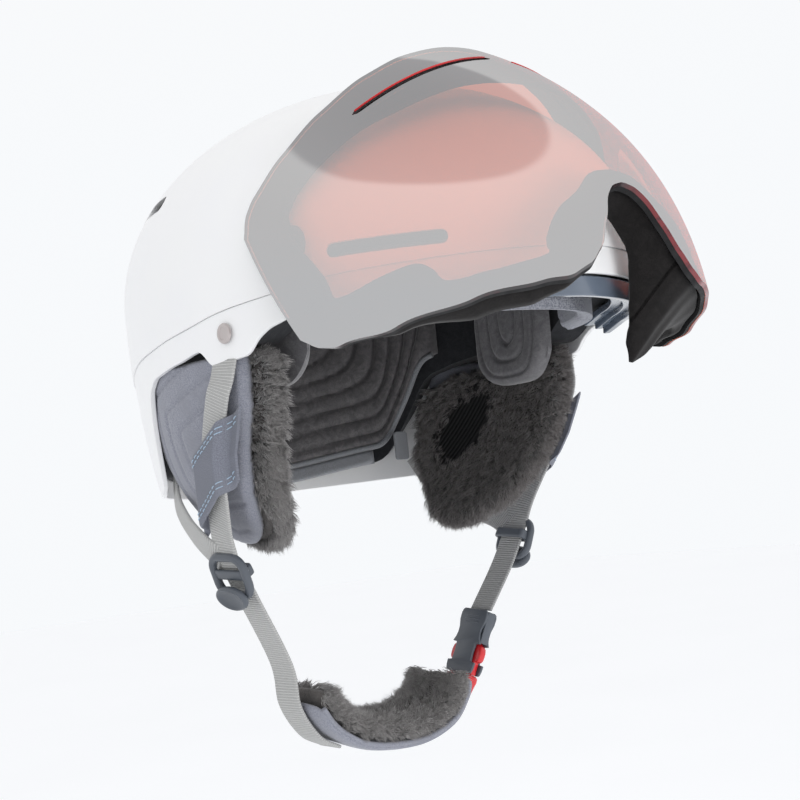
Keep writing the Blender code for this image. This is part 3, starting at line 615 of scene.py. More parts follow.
def region(name, outer, holes, pitch, faces_at, materials, smooth=50):
    """A closed body over a region with holes. faces_at gives a point's two places, outer and inner."""
    loops = [resample(loop, pitch) for loop in [outer] + holes]
    points, edges = [], []
    for loop in loops:
        start = len(points)
        points += loop
        edges += [(start + i, start + (i + 1) % len(loop)) for i in range(len(loop))]
    low, high = np.min(outer, axis=0), np.max(outer, axis=0)
    xs, ys = np.arange(low[0], high[0], pitch), np.arange(low[1], high[1], pitch * 0.87)
    grid = np.array([(x + (pitch / 2 if j % 2 else 0), y) for j, y in enumerate(ys) for x in xs])
    keep = inside(outer, grid) & ~near_loop([p for loop in loops for p in loop], grid, 0.6 * pitch)
    for hole in holes:
        keep &= ~inside(hole, grid)
    points += [tuple(p) for p in grid[keep]]
    flat, _, faces, _, _, _ = delaunay_2d_cdt([Vector(p) for p in points], edges, [], 0, 1e-9)
    flat = np.array([tuple(p) for p in flat])
    middles = np.array([flat[list(f)].mean(axis=0) for f in faces])
    good = inside(outer, middles)
    for hole in holes:
        good &= ~inside(hole, middles)
    faces = [tuple(f) for f, g in zip(faces, good) if g]
    count = len(flat)
    both = [faces_at(*p) for p in flat]
    verts = [a for a, _ in both] + [b for _, b in both]
    front = faces
    back = [tuple(i + count for i in f[::-1]) for f in faces]
    seen = {}
    for f in faces:
        for a, b in zip(f, f[1:] + f[:1]):
            seen[(a, b)] = seen.get((a, b), 0) + 1
    rim = [(b, a, a + count, b + count) for a, b in seen if (b, a) not in seen]
    made = [0] * len(front) + [1] * len(back) + [2] * len(rim)
    mesh = bpy.data.meshes.new(name)
    mesh.from_pydata([tuple(p) for p in verts], [], front + back + rim)
    for material in materials:
        mesh.materials.append(material)
    mesh.polygons.foreach_set("material_index", np.array(made, np.int32))
    close_mesh(mesh, smooth)
    return linked(name, mesh)


# Visor


def lens_place(turn, height, depth=0.0):
    narrow = 1 - LENS_TAPER[int(height > 0)] * (height / LENS_TAPER_HEIGHT) ** 2
    x = (LENS_HALF[0] * narrow - depth) * sin(radians(turn))
    y = -(LENS_HALF[1] * narrow - depth) * cos(radians(turn))
    c, s = cos(LENS_TILT), sin(LENS_TILT)
    return Vector((x, LENS_ORIGIN[1] + y * c + height * s, LENS_ORIGIN[2] - y * s + height * c))


def lens_turn(u, height):
    return u * (LENS_END - LENS_END_LEAN * height / MM)


def lens_unroll(turn, height):
    return radians(turn) * LENS_HALF[0], height


def lens_roll(x, height, depth):
    return lens_place(degrees(x / LENS_HALF[0]), height, depth)


def lens_edges(count):
    """The lens's lower and upper edges from side to side, unrolled."""
    low, top = [], []
    for u in spread(-1, 1, count):
        high, deep = rounded(LENS_TOP, abs(u), 0.012) * MM, rounded(LENS_BOTTOM, abs(u), 0.012) * MM
        low.append(lens_unroll(lens_turn(u, deep), deep))
        top.append(lens_unroll(lens_turn(u, high), high))
    return low, top


def inset(loop, distance):
    moved = []
    for i, p in enumerate(loop):
        before, after = loop[i - 1], loop[(i + 1) % len(loop)]
        along = Vector((after[0] - before[0], after[1] - before[1])).normalized()
        moved.append((p[0] - along.y * distance, p[1] + along.x * distance))
    return moved


CLEAR_HALF = ((4, 19), (18, 20), (34, 19), (47, 20), (66, 11), (69, -23), (70, -35), (60, -43), (54, -48),
              (52, -54), (51, -61), (41, -68), (29, -72), (27, -66), (21, -58), (14, -53), (8, -46), (2, -44))
SLOT_ENDS, SLOT_HEIGHTS, SLOT_OPENING = (3.5, 43.0), (38 * MM, 27 * MM), 3.2 * MM


def slot_loop(side):
    """One breather slot: a long rounded opening, bowed with the lens."""
    top, low = [], []
    for i, turn in enumerate(spread(SLOT_ENDS[0], SLOT_ENDS[1], 40)):
        end = min(i, 39 - i) / 3
        half = SLOT_OPENING / 2 * min(1.0, sqrt(max(0.0, 1 - (1 - min(end, 1.0)) ** 2)) + 0.12)
        height = SLOT_HEIGHTS[0] + (SLOT_HEIGHTS[1] - SLOT_HEIGHTS[0]) * (i / 39)
        top.append(lens_unroll(side * turn, height + half))
        low.append(lens_unroll(side * turn, height - half))
    loop = top + low[::-1]
    return loop if side < 0 else loop[::-1]


def lens_paint():
    """Mirror coating: part of the light is reflected as neutral grey, the rest passes with a rose tint."""
    made = bpy.data.materials.new("lens_mirror")
    made.use_nodes = True
    tree = made.node_tree
    shine = tree.nodes["Principled BSDF"]
    shine.inputs["Base Color"].default_value = (0.95, 0.955, 0.96, 1)
    shine.inputs["Metallic"].default_value = 1.0
    shine.inputs["Roughness"].default_value = 0.09
    through = tree.nodes.new("ShaderNodeBsdfTransparent")
    through.inputs[0].default_value = (0.66, 0.13, 0.05, 1)
    mix = tree.nodes.new("ShaderNodeMixShader")
    mix.inputs[0].default_value = 0.52
    tree.links.new(through.outputs[0], mix.inputs[1])
    tree.links.new(shine.outputs[0], mix.inputs[2])
    coords = tree.nodes.new("ShaderNodeTexCoord")
    noise = node(tree, "ShaderNodeTexNoise", Scale=18.0, Detail=2.0)
    tree.links.new(coords.outputs["Object"], noise.inputs["Vector"])
    rough = ramp(tree, noise.outputs[0], ((0.3, 0.02), (0.7, 0.05)))
    tree.links.new(rough, shine.inputs["Roughness"])
    tree.links.new(mix.outputs[0], tree.nodes["Material Output"].inputs[0])
    return made


def clear_paint():
    """The lens's inner face lets the light through to the coating."""
    made = bpy.data.materials.new("lens_inner")
    made.use_nodes = True
    tree = made.node_tree
    gloss = tree.nodes["Principled BSDF"]
    gloss.inputs["Base Color"].default_value = (0.05, 0.03, 0.03, 1)
    gloss.inputs["Roughness"].default_value = 0.1
    through = tree.nodes.new("ShaderNodeBsdfTransparent")
    through.inputs[0].default_value = (1, 1, 1, 1)
    mix = tree.nodes.new("ShaderNodeMixShader")
    mix.inputs[0].default_value = 0.04
    tree.links.new(through.outputs[0], mix.inputs[1])
    tree.links.new(gloss.outputs[0], mix.inputs[2])
    tree.links.new(mix.outputs[0], tree.nodes["Material Output"].inputs[0])
    return made


def rim_paint():
    """The lens's cut edge: dark on the wearer's right, where the frame meets it, maroon elsewhere."""
    made = Paint("lens_rim", lin(40, 36, 38), 0.3, coat=0.3)
    place = made.tree.nodes.new("ShaderNodeSeparateXYZ")
    made.link(made.coords.outputs["Object"], place.inputs[0])
    made.tint(place.outputs[0], lin(120, 34, 40), 0.0, 0.012)
    made.tint(made.noise(3 * MM), lin(60, 22, 28), 0.5, 0.8)
    return made.material


def foam_depth(turn):
    near = ((0, 8), (8, 4), (16, 3), (26, 6), (36, 13), (50, 15), (66, 7), (82, 3))
    far = ((0, 12), (8, 16), (15, 28), (22, 36), (30, 38), (38, 30), (50, 19), (66, 7), (82, 3))
    return smooth_between(near if turn < 0 else far, abs(turn)) * MM


def make_visor(paints):
    low, top = lens_edges(220)
    loop = low + top[::-1]
    rim = rim_paint()
    lens = region("visor_lens_sheet", loop, [slot_loop(-1), slot_loop(1)], 3.2 * MM,
                  lambda x, h: (lens_roll(x, h, 0), lens_roll(x, h, LENS_WALL)),
                  [lens_paint(), clear_paint(), rim], 40)
    lens.visible_shadow = lens.visible_diffuse = False
    finish_piece(lens, "visor", ["visor_lens"])
    clear = [(-t, h) for t, h in CLEAR_HALF[::-1]] + list(CLEAR_HALF)
    hole = round_loop([lens_unroll(t, h * MM) for t, h in clear], 4)
    frame_black = paints["visor_black"]
    carrier = region("visor_carrier", inset(loop, 0.35 * MM), [hole] + [slot_loop(-1), slot_loop(1)],
                     3.6 * MM,
                     lambda x,
                     h: (lens_roll(x, h, LENS_WALL + 0.1 * MM), lens_roll(x, h, LENS_WALL + 2.6 * MM)),
                     [frame_black] * 3, 40)
    finish_piece(carrier, "visor", ["visor_frame"])
    red = plastic("slot_red", lin(205, 38, 40), 0.35, other=lin(170, 25, 30))
    for side, label in SIDES:
        path = [lens_roll(*lens_unroll(side * t, h + SLOT_OPENING * 0.5 - 0.1 * MM), 0.05 * MM)
                for t, h in zip(spread(SLOT_ENDS[0] + 1, SLOT_ENDS[1] - 1, 40), spread(*SLOT_HEIGHTS, 40))]
        lip = tube(f"slot_lip_{label}", path, 0.42 * MM, red, 6)
        finish_piece(lip, "visor")
    front = LENS_WALL + 3.8 * MM
    nose = 0.225 * LENS_END
    outer, inner = inset(low, 2.5 * MM), inset(low, 11 * MM)
    groups = {"visor_nose_foam": [], "visor_face_foam_right": [], "visor_face_foam_left": []}
    for (x, _), a, b in list(zip(low, outer, inner))[2:-2]:
        turn = degrees(x / LENS_HALF[0])
        deep = foam_depth(turn)
        section = []
        for share, level in ((0.0, 0.0), (0.5, 0.0), (1.0, 0.0), (1.03, 0.25), (1.02, 0.6), (0.96, 0.88),
                             (0.8, 0.99),
                             (0.5, 1.03), (0.2, 0.99), (0.03, 0.88), (-0.04, 0.6), (-0.03, 0.25)):
            lip = 9 * MM * level**2 * exp(-(((turn - 34) / 15) ** 2))
            place = (a[0] + (b[0] - a[0]) * share,
                     a[1] + (b[1] - a[1]) * share - level * share * 2 * MM - lip)
            section.append(lens_roll(place[0], place[1], front + deep * level))
        if abs(turn) <= nose + 0.8:
            groups["visor_nose_foam"].append(section)
        if turn < -nose + 0.8:
            groups["visor_face_foam_right"].append(section)
        if turn > nose - 0.8:
            groups["visor_face_foam_left"].append(section)
    for name, stations in groups.items():
        piece = sweep(name + "_pad", stations, paints["foam_black"], smooth=70)
        finish_piece(piece, "visor", [name])


# Shells and the linings inside them

REAR_VENT = ((90, 54, 86), 30, 7, 22)
FRONT_VENT = ((79, -89, 41.5), 50, 6, -39)


def vent_cutter(side, vent):
    """A slot's cutter: rounded ends, and a mouth that flares out of the shell's face."""
    (x, y, z), length, height, turn = vent
    place = Matrix.Translation((side * x * MM, y * MM, z * MM)) @ Matrix.Rotation(radians(side * turn), 4,
                                                                                  "Z")
    stations = []
    for out, flare in ((-37, 0.0), (2, 0.0), (7, 0.4), (12, 1.6), (20, 4.0)):
        half, tall = length / 2 + flare, height / 2 + flare
        ring = [(side * out * MM, a * MM, b * MM) for a, b in frame_outline(half, tall, tall * 0.96, 8)]
        stations.append([place @ Vector(p) for p in ring])
    return sweep("cutter", stations, None)


def frame_outline(width, height, corner, turns=4):
    points = []
    for sx, sy, first in ((1, 1, 0), (-1, 1, 90), (-1, -1, 180), (1, -1, 270)):
        for i in range(turns + 1):
            angle = radians(first + 90 * i / turns)
            points.append((sx * (width - corner) + corner * cos(angle),
                           sy * (height - corner) + corner * sin(angle)))
    return points


def make_shells(paints):
    white, foam = paints["shell_white"], paints["liner_foam"]
    upper = dome("shell_upper", 0, SHELL_WALL, lambda t: seam_height(t) + 0.03 * MM, white, 260, 70)
    carve(upper, [vent_cutter(s, v) for v in (REAR_VENT, FRONT_VENT) for s in (-1, 1)])
    finish_piece(bevel(upper, 0.45 * MM, 2), "helmet", ["outer_shell"])
    turns = [360 * i / 420 for i in range(420)]
    lower = band("shell_lower", 0.7 * MM, SHELL_WALL, edge_height, lambda t: seam_height(t) - 0.03 * MM,
                 turns,
                 white, 16, True)
    finish_piece(bevel(lower, 0.7 * MM, 3), "helmet", ["lower_shell"])
    liner = dome("liner", 4.6 * MM, 19 * MM, liner_height, foam, 200, 40)
    carve(liner, [vent_cutter(s, v) for v in (REAR_VENT, FRONT_VENT) for s in (-1, 1)])
    finish_piece(bevel(liner, 1.2 * MM, 2), "helmet", ["shock_liner"])


def channel(distance, pitch, width=0.9 * MM, depth=1.5 * MM, first=0.0, last=99):
    """How far a sewn channel pulls the pad in at this distance from the pad's edge."""
    number = round((distance - first) / pitch)
    if number < 0 or number > last:
        return 0.0
    off = (distance - first - number * pitch) / width
    return depth * exp(-off * off)


def soft_least(*values, k=4 * MM):
    return -k * np.log(sum(np.exp(-v / k) for v in values))


def cushion_band(name, offset, wall, low, high, turns, rows, relief, material, edge=4 * MM):
    """A pad on the inside of the shell: its inner face is crowned at the edges and pulled in by relief."""
    back, face = [], []
    first, last = turns[0], turns[-1]
    for t in turns:
        bottom, top = low(t), high(t)
        heights = shell_rows(bottom, top, offset + wall, rows)
        backs, faces = [], []
        for z in heights:
            to_end = min(abs(t - first), abs(last - t)) * radians(1) * 85 * MM
            to_side = min(z - bottom, top - z)
            reach = max(0.0, min(float(soft_least(to_end, to_side, k=1.5 * MM)), edge)) / edge
            round_off = sqrt(max(0.0, 1 - (1 - reach) ** 2))
            deep = wall * (0.25 + 0.75 * round_off)
            deep -= relief(t, z, to_end, z - bottom, top - z) * round_off
            backs.append(shell_point(t, z, offset))
            faces.append(shell_point(t, z, offset + deep))
        back.append(backs)
        face.append(faces)
    flip = [[[side[j][i] for j in range(len(turns))] for i in range(rows)] for side in (back, face)]
    return sheet(name, flip[0], flip[1], material, smooth=75)


def make_linings(paints):
    velour, knit, cloth_grey = paints["velour"], paints["knit"], paints["trim_grey"]
    crown = dome("crown_lining", PAD_OUT + 2 * MM, 6 * MM, lambda t: 94 * MM, velour, 90, 16)
    finish_piece(bevel(crown, 1.5 * MM, 3), "helmet", ["crown_pad"])

    def nested(t, z, to_end, above_low, below_top):
        way = float(soft_least(to_end, above_low, k=9 * MM))
        swell = 0.5 * MM * sin(pi * (way - 6.5 * MM) / 8.6 / MM) ** 2
        return channel(way, 8.6 * MM, 1.0 * MM, 2.0 * MM, 6.5 * MM) - swell

    rear = cushion_band("rear_lining", PAD_OUT + 1.0 * MM, 9 * MM, lambda t: liner_height(t) + 8.5 * MM,
                        lambda t: 66 * MM, spread(118, 242, 300), 120, nested, velour)
    finish_piece(rear, "helmet", ["rear_pad"])
    rim = [shell_point(t, liner_height(t) + 8 * MM, PAD_OUT + 7.5 * MM) for t in spread(119, 241, 160)]
    finish_piece(tube("rear_piping", rim, 1.5 * MM, cloth_grey, 10), "helmet")

    trim = cushion_band("nape_binding", PAD_OUT + 2.5 * MM, 6 * MM, lambda t: liner_height(t) - 1 * MM,
                        lambda t: liner_height(t) + 7 * MM, spread(144, 216, 120), 12,
                        lambda *a: 0.0, cloth_grey, 2 * MM)
    finish_piece(trim, "helmet", ["nape_trim"])

    def brow_relief(t, z, to_end, above_low, below_top):
        dents = 0.5 * MM * sin(t * 0.31) * sin(z / MM * 0.25 + t * 0.05)
        return channel(above_low, 99, 0.8 * MM, 1.1 * MM, 4.2 * MM) + dents * 0.6

    brow = cushion_band("brow_cushion", PAD_OUT, 8 * MM, lambda t: 13 * MM, lambda t: 48 * MM,
                        spread(-53, 53, 200), 36, brow_relief, knit, 5 * MM)
    finish_piece(brow, "helmet", ["brow_pad"])
    for side, label in SIDES:
        def lobes(t, z, to_end, above_low, below_top, side=side):
            way = float(soft_least(to_end, above_low, k=5 * MM))
            return channel(way, 7.5 * MM, 1.0 * MM, 1.6 * MM, 4.5 * MM, 2)

        turns = spread(side * 64, side * 100, 110)
        pad = cushion_band(f"temple_cushion_{label}", PAD_OUT + 1.8 * MM, 8 * MM,
                           lambda t: (-8 + 14 * ((abs(t) - 82) / 18) ** 4) * MM,
                           lambda t: (40 - 10 * ((abs(t) - 82) / 18) ** 4) * MM, turns, 84, lobes,
                           paints["temple_cloth"], 6 * MM)
        finish_piece(pad, "helmet", [f"temple_pad_{label}"])
    layers = ((0.0, 3.6, -9, -0.5), (3.7, 7.6, -6.5, -0.7), (7.7, 13, -4.4, -0.9))
    for i, (near, far, low, high) in enumerate(layers):
        part = band(f"brow_layer_{i + 1}", SHELL_WALL + (1.2 + near) * MM, (far - near) * MM,
                    lambda t, low=low: edge_height(t) + low * MM, lambda t,
                    high=high: edge_height(t) + high * MM,
                    spread(-56, 56, 150), paints["brow_plastic"], 6)
        bevel(part, 0.6 * MM, 3)
        finish_piece(part, "helmet", ["brow_frame"] if i == 0 else ())
    label_piece = cushion_band("inner_label", PAD_OUT + 11.2 * MM, 0.6 * MM, lambda t: -6 * MM,
                               lambda t: 26 * MM,
                               spread(196, 208, 30), 30, lambda t, z, e, a, b: 0.25 * MM * exp(
                                   -((min(a, b) - 1.6 * MM) / (0.35 * MM)) ** 2), paints["label_black"],
                               0.8 * MM)
    finish_piece(label_piece, "helmet", ["liner_label"])


# Ear pads, fleece and speaker meshes

EAR_OUTLINE = ((-19, 8), (-4, 8), (20, 8.5), (52, 9.5), (66, 3), (67, -20), (63, -42), (57, -58), (47, -68),
               (36, -74), (22, -72), (10, -64), (-1, -49), (-10, -33), (-18, -15))
FUR_OUTLINE = ((-25, 7), (-8, 4), (20, 2), (52, 0), (64, -10), (67, -26), (64, -42), (56, -56), (46, -67),
               (34, -74), (20, -74), (4, -66), (-8, -51), (-18, -33), (-25, -13))
MESH_OUTLINE = ((20, -3), (36, -5), (50, -14), (57, -32), (48, -46), (34, -40), (22, -22))


def ear_x(y, z):
    round_head = (shell_x(y, SHELL_MID_Z) / SHELL_HALF[0]) ** 1.3
    return 108 * MM * round_head - 34 * MM * (max(0.0, 8 * MM - z) / (83 * MM)) ** 2.6


def edge_distance(loop, points):
    """Each point's distance from the loop, in the loop's own units."""
    a = np.array(loop, float)
    b = np.roll(a, -1, axis=0)
    points = np.array(points, float)
    best = np.full(len(points), 1e9)
    for p, q in zip(a, b):
        d = q - p
        t = np.clip(((points - p) @ d) / max(d @ d, 1e-18), 0, 1)
        best = np.minimum(best, np.linalg.norm(points - (p + t[:, None] * d), axis=1))
    return best


def ear_patch(name, side, outline, outside, inside_depth, relief, material, pitch=1.9 * MM, edge=3.4 * MM):
    """A rounded pad seen from the side; relief(y, z, to_edge) pulls its outer face in."""
    loop = [(y * MM, z * MM) for y, z in round_loop(outline, 8)]
    half = (inside_depth - outside) / 2

    def faces_at(y, z):
        away = float(edge_distance(loop, [(y, z)])[0])
        part = min(1.0, away / edge)
        rise = half * (0.15 + 0.85 * sqrt(max(0.0, 1 - (1 - part) ** 2)))
        middle = outside + half
        x = ear_x(y, z)
        outer = x - middle + rise - relief(y, z, away) * part
        inner = x - middle - rise
        return (Vector((side * outer, y, z)), Vector((side * inner, y, z)))

    return region(name, loop, [], pitch, faces_at, [material] * 3, 80)


def fleece(name, roots, normals, lean, material, rng, length=8 * MM, width=0.3 * MM, strands=30,
           tuft_reach=2.6 * MM):
    """Long-pile fleece: tufts of tapered strands, each a closed three-sided blade, over a soft base.

    roots and normals are where tufts may stand; lean is the way the pile lies.
    """
    points, faces = [], []
    lean = np.array(lean, float)
    for root, normal in zip(roots, normals):
        normal = normal / np.linalg.norm(normal)
        swirl = rng.normal(0, 0.22, 3)
        way = normal * 0.9 + lean + swirl
        way /= np.linalg.norm(way)
        reach = length * rng.uniform(0.75, 1.15)
        side = np.cross(way, rng.normal(0, 1, 3))
        side /= np.linalg.norm(side)
        other = np.cross(way, side)
        for _ in range(strands):
            angle, far = rng.uniform(0, 2 * pi), tuft_reach * sqrt(rng.uniform(0, 1))
            start = root + (side * cos(angle) + other * sin(angle)) * far
            start = start - normal * (0.6 * MM) - normal * np.dot(start - root, normal)
            tip = root + way * reach * rng.uniform(0.8, 1.1) + (start - root) * 0.45
            tip = tip + rng.normal(0, 0.6 * MM, 3)
            bend = (start + tip) / 2 + (start - root) * 0.25 + normal * 0.9 * MM
            along = tip - start
            a = np.cross(along, rng.normal(0, 1, 3))
            a *= width / np.linalg.norm(a) / 2
            b = np.cross(along, a)
            b *= width / np.linalg.norm(b) / 2
            first = len(points)
            ring = (a, -a / 2 + b * 0.87, -a / 2 - b * 0.87)
            points += [start + r for r in ring] + [bend + r * 0.8 for r in ring] + [tip]
            for i in range(3):
                k = (i + 1) % 3
                low, high = first + i, first + k
                faces += [(low, high, high + 3, low + 3), (low + 3, high + 3, first + 6)]
            faces.append((first + 2, first + 1, first))
    mesh = bpy.data.meshes.new(name)
    mesh.from_pydata([tuple(p) for p in points], [], faces)
    mesh.materials.append(material)
    mesh.shade_smooth()
    made = bpy.data.objects.new(name, mesh)
    bpy.context.scene.collection.objects.link(made)
    return made


def ear_roots(side, rng, spacing=3.0 * MM, skip=None):
    """Tuft places over an ear lining's inner face and round its rim, with the way each stands."""
    loop = [(y * MM, z * MM) for y, z in round_loop(FUR_OUTLINE, 6)]
    arr = np.array(loop)
    low, high = arr.min(axis=0), arr.max(axis=0)
    places = []
    for i, z in enumerate(np.arange(low[1], high[1], spacing * 0.87)):
        for y in np.arange(low[0] + (i % 2) * spacing / 2, high[0], spacing):
            places.append((y + rng.normal(0, 0.5 * MM), z + rng.normal(0, 0.5 * MM)))
    places = np.array(places)
    away = edge_distance(loop, places)
    keep = inside(loop, places)
    if skip is not None:
        keep &= ~inside(inset_points(skip), places)
    roots, normals = [], []
    middle = arr.mean(axis=0)
    for (y, z), gap in zip(places[keep], away[keep]):
        part = min(1.0, gap / (5 * MM))
        out = np.array([0, y - middle[0], z - middle[1]])
        out /= np.linalg.norm(out)
        inward = np.array([-side, 0, 0])
        normals.append(inward * (0.3 + part) + out * (1 - part) * 0.9)
        deep = 12.8 * MM + 3.6 * MM * sqrt(1 - (1 - part) ** 2)
        roots.append(np.array([side * (ear_x(y, z) - deep), y, z]))
        if y < 4 * MM and gap < 10 * MM:
            normals.append(np.array([side * 0.5, 0, 0]) + out * 0.8)
            roots.append(np.array([side * (ear_x(y, z) - 8.8 * MM), y, z]))
    for i in range(len(loop)):
        (y0, z0), (y1, z1) = loop[i], loop[(i + 1) % len(loop)]
        along = np.array([y1 - y0, z1 - z0])
        step_count = max(1, int(np.linalg.norm(along) / spacing))
        for j in range(step_count):
            y, z = y0 + along[0] * j / step_count, z0 + along[1] * j / step_count
            out = np.array([0, y - middle[0], z - middle[1]])
            out /= np.linalg.norm(out)
            for deep in (7.9, 9.1, 10.3, 11.5, 12.7):
                roots.append(np.array([side * (ear_x(y, z) - deep * MM), y, z]) - out * 1.6 * MM)
                normals.append(out)
    return roots, normals


def inset_points(outline):
    return [(y * MM, z * MM) for y, z in outline]


def hex_relief(y, z, _):
    """Nested six-sided lines pressed into the ear cloth, and a stitched line by its edge."""
    dy, dz = y / MM - 12, z / MM + 36
    sides = -MM * np.array((dy, 0.97 * dz + 0.25 * dy, 0.87 * dy - 0.5 * dz, -dy, -dz))
    reach = float(-soft_least(*sides, k=0.9 * MM))
    return channel(reach, 11.5 * MM, 0.8 * MM, 1.0 * MM, 20 * MM, 2)


def make_ears(paints):
    rng = np.random.default_rng(7)
    for side, label in SIDES:
        pad = ear_patch(f"ear_cover_{label}", side, EAR_OUTLINE, -0.6 * MM, 7.2 * MM, hex_relief,
                        paints["ear_cloth"],
                        1.5 * MM, 2.6 * MM)
        finish_piece(pad, "helmet", [f"ear_pad_{label}"])
        # The far ear takes darker copies of the fleece and its base: painted shade.
        base = ear_patch(f"ear_pile_base_{label}", side, FUR_OUTLINE, 8.3 * MM, 16.2 * MM, lambda y, z,
                         a: 0.0,
                         paints["fleece_base" if side < 0 else "fleece_base_far_shaded"], 3.0 * MM, 5 * MM)
        finish_piece(base, "helmet", [f"ear_lining_{label}"])
        roots, normals = ear_roots(side, rng, skip=[(y * 0.86 + 4, z * 0.8 - 5) for y, z in MESH_OUTLINE])
        fur = fleece(f"ear_pile_{label}", roots, normals, (0, -0.2, -0.6),
                     paints["fleece" if side < 0 else "fleece_far_shaded"], rng, 6.2 * MM)
        finish_piece(fur, "helmet")
        mesh = ear_patch(f"speaker_cloth_{label}", side, MESH_OUTLINE, 16.4 * MM, 18.7 * MM, lambda y, z,
                         a: 0.0,
                         paints["speaker_mesh"], 2.0 * MM, 2 * MM)
        finish_piece(mesh, "helmet", [f"ear_mesh_{label}"])
        make_strap_loop(side, label, paints)


FRONT_STRAP_X = ((-2, 112), (12, 112), (35, 109.5), (56, 102), (68, 98), (84, 91.5))
FRONT_STRAP_Y = ((-2, -12), (12, -9), (35, 1), (56, 11), (68, 16), (84, 19))


def loop_point(side, along, z, lift):
    """A point of the strap loop, along its length and down its width, in millimetres."""
    y = between(FRONT_STRAP_Y, -z) * MM + along * MM
    height = (z + along * -0.6) * MM
    x = between(FRONT_STRAP_X, -height / MM) * MM + 5.0 * MM
    over = 1 - step(9.6, 15.0, abs(along))
    down = max(ear_x(y, height) + 2.1 * MM, x - 7 * MM)
    return Vector((side * (down + (x - down) * over + lift * MM), y, height))


def make_strap_loop(side, label, paints):
    rows, columns = 30, 50
    grids = []
    for lift in (1.0, -0.4):
        grid = []
        for i in range(rows):
            z = -27 - 31 * i / (rows - 1)
            rim = min(i, rows - 1 - i) / 3
            soft = sqrt(max(0, 1 - (1 - min(1, rim)) ** 2))
            row = []
            for j in range(columns):
                along = -20 + 39 * j / (columns - 1)
                pucker = 0.25 * sin(z * 1.3) * exp(-((abs(along) - 12.5) / 1.6) ** 2)
                level = lift * (0.35 + 0.65 * soft) if lift > 0 else lift
                row.append(loop_point(side, along, z, level + (pucker if lift > 0 else 0)))
            grid.append(row)
        grids.append(grid)
    uv = [((-20 + 39 * j / (columns - 1)) * MM,
           (30 * i / (rows - 1)) * MM) for i in range(rows) for j in range(columns)]
    piece = sheet(f"strap_loop_{label}", grids[0], grids[1], paints["loop_cloth"], uv=uv, smooth=70)
    finish_piece(piece, "helmet", [f"ear_strap_loop_{label}"])
    thread = paints["thread_blue"]
    for row, z in enumerate((-30.2, -32.4, -52.8, -55.0)):
        stitches = []
        for start in np.arange(-18, 16.5, 2.9):
            path = [loop_point(side, start + 1.9 * k / 4, z, 1.0 + 0.28 * sin(pi * k / 4)) for k in range(5)]
            stitches.append(tube("stitch", path, 0.24 * MM, thread, 5))
        seam = join(stitches, f"loop_stitches_{label}_{row + 1}")
        finish_piece(seam, "helmet")


def join(pieces, name):
    """Several meshes of one material as one piece."""
    work = bmesh.new()
    for piece in pieces:
        work.from_mesh(piece.data)
    mesh = bpy.data.meshes.new(name)
    work.to_mesh(mesh)
    work.free()
    mesh.materials.append(pieces[0].data.materials[0])
    mesh.shade_smooth()
    for piece in pieces:
        bpy.data.objects.remove(piece, do_unlink=True)
    made = bpy.data.objects.new(name, mesh)
    bpy.context.scene.collection.objects.link(made)
    return made


# Straps, sliders and buckle

SLIDER_AT, SLIDER_DOWN = (91 * MM, 19 * MM, -85 * MM), (-0.497, 0.10, -0.862)
SOCKET_AT = (65 * MM, 23 * MM, -122 * MM)
SOCKET_DOWN = Vector((-0.42, 0.12, -0.90)).normalized()
SOCKET_LENGTH = 33 * MM
RIVET_AT = (-17 * MM, 16 * MM)
WEB_WIDTH, WEB_WALL = 15 * MM, 1.6 * MM
RIGHT_STRAP = ((-65.5, 24.5, -130), (-62, 25.5, -149.5), (-52, 26, -164.5), (-40, 26.5, -171.3))
LEFT_STRAP = ((65.5, 22.8, -121.2),)
TONGUE_STRAP = ((45, 28.6, -164.6), (41.5, 28.6, -169), (34, 28.4, -173))
CHIN_PATH = ((-56, 25.5, -147), (-46, 26, -159), (-27, 27, -169), (4, 28, -172.5), (25, 27.5, -167.5),
             (35, 27, -158), (38, 26.5, -150))


def smooth_path(points, steps):
    ends = [2 * Vector(points[0]) - Vector(points[1])] + [Vector(p) for p in points]
    ends.append(2 * ends[-1] - ends[-2])
    path = []
    for i in range(1, len(ends) - 2):
        for j in range(steps):
            path.append(Vector([curve_value(*(ends[i + m][k] for m in (-1, 0, 1, 2)), j / steps)
                                for k in range(3)]))
    path.append(ends[-2])
    return path


def carried(points, across, steps):
    """Places along a smooth path with the directions of its length, width and thickness."""
    path, made = smooth_path(points, steps), []
    for i, p in enumerate(path):
        along = path[min(i + 1, len(path) - 1)] - path[max(i - 1, 0)]
        along.normalize()
        place = i / steps
        low = min(int(place), len(points) - 2)
        wide = Vector(across[low]).lerp(Vector(across[low + 1]), place - low)
        wide = (wide - along * wide.dot(along)).normalized()
        made.append((p, along, wide, along.cross(wide)))
    return made


def web_section(width, wall):
    """Flat webbing with rounded edges, once round, as (across, thick) pairs."""
    points = []
    for sx, sy, first in ((1, 1, 0), (-1, 1, 90), (-1, -1, 180), (1, -1, 270)):
        for i in range(3):
            angle = radians(first + 90 * i / 2)
            r = wall * 0.42
            points.append((sx * (width / 2 - r) + r * cos(angle), sy * (wall / 2 - r) + r * sin(angle)))
        if sx == sy:
            points += [(sx * (width / 2 - wall) * (1 - 2 * k / 6), sy * wall / 2) for k in range(1, 6)]
    return points


def webbing(name, points, across, material, steps=14):
    section = web_section(WEB_WIDTH, WEB_WALL)
    stations, uv, run, last = [], [], 0.0, None
    for p, _, wide, thick in carried(points, across, steps):
        run += 0 if last is None else (p - last).length
        last = p
        stations.append([p + wide * a + thick * b for a, b in section])
        uv += [(run, a) for a, b in section]
    return sweep(name, stations, material, uv=uv, smooth=60)


def side_axes(down):
    width = Vector((0, 1, 0))
    width = (width - down * width.dot(down)).normalized()
    return width.cross(down).normalized(), width, down


def strap_points(side, raw):
    return [Vector((side * x * MM, y * MM, z * MM)) for x, y, z in raw]


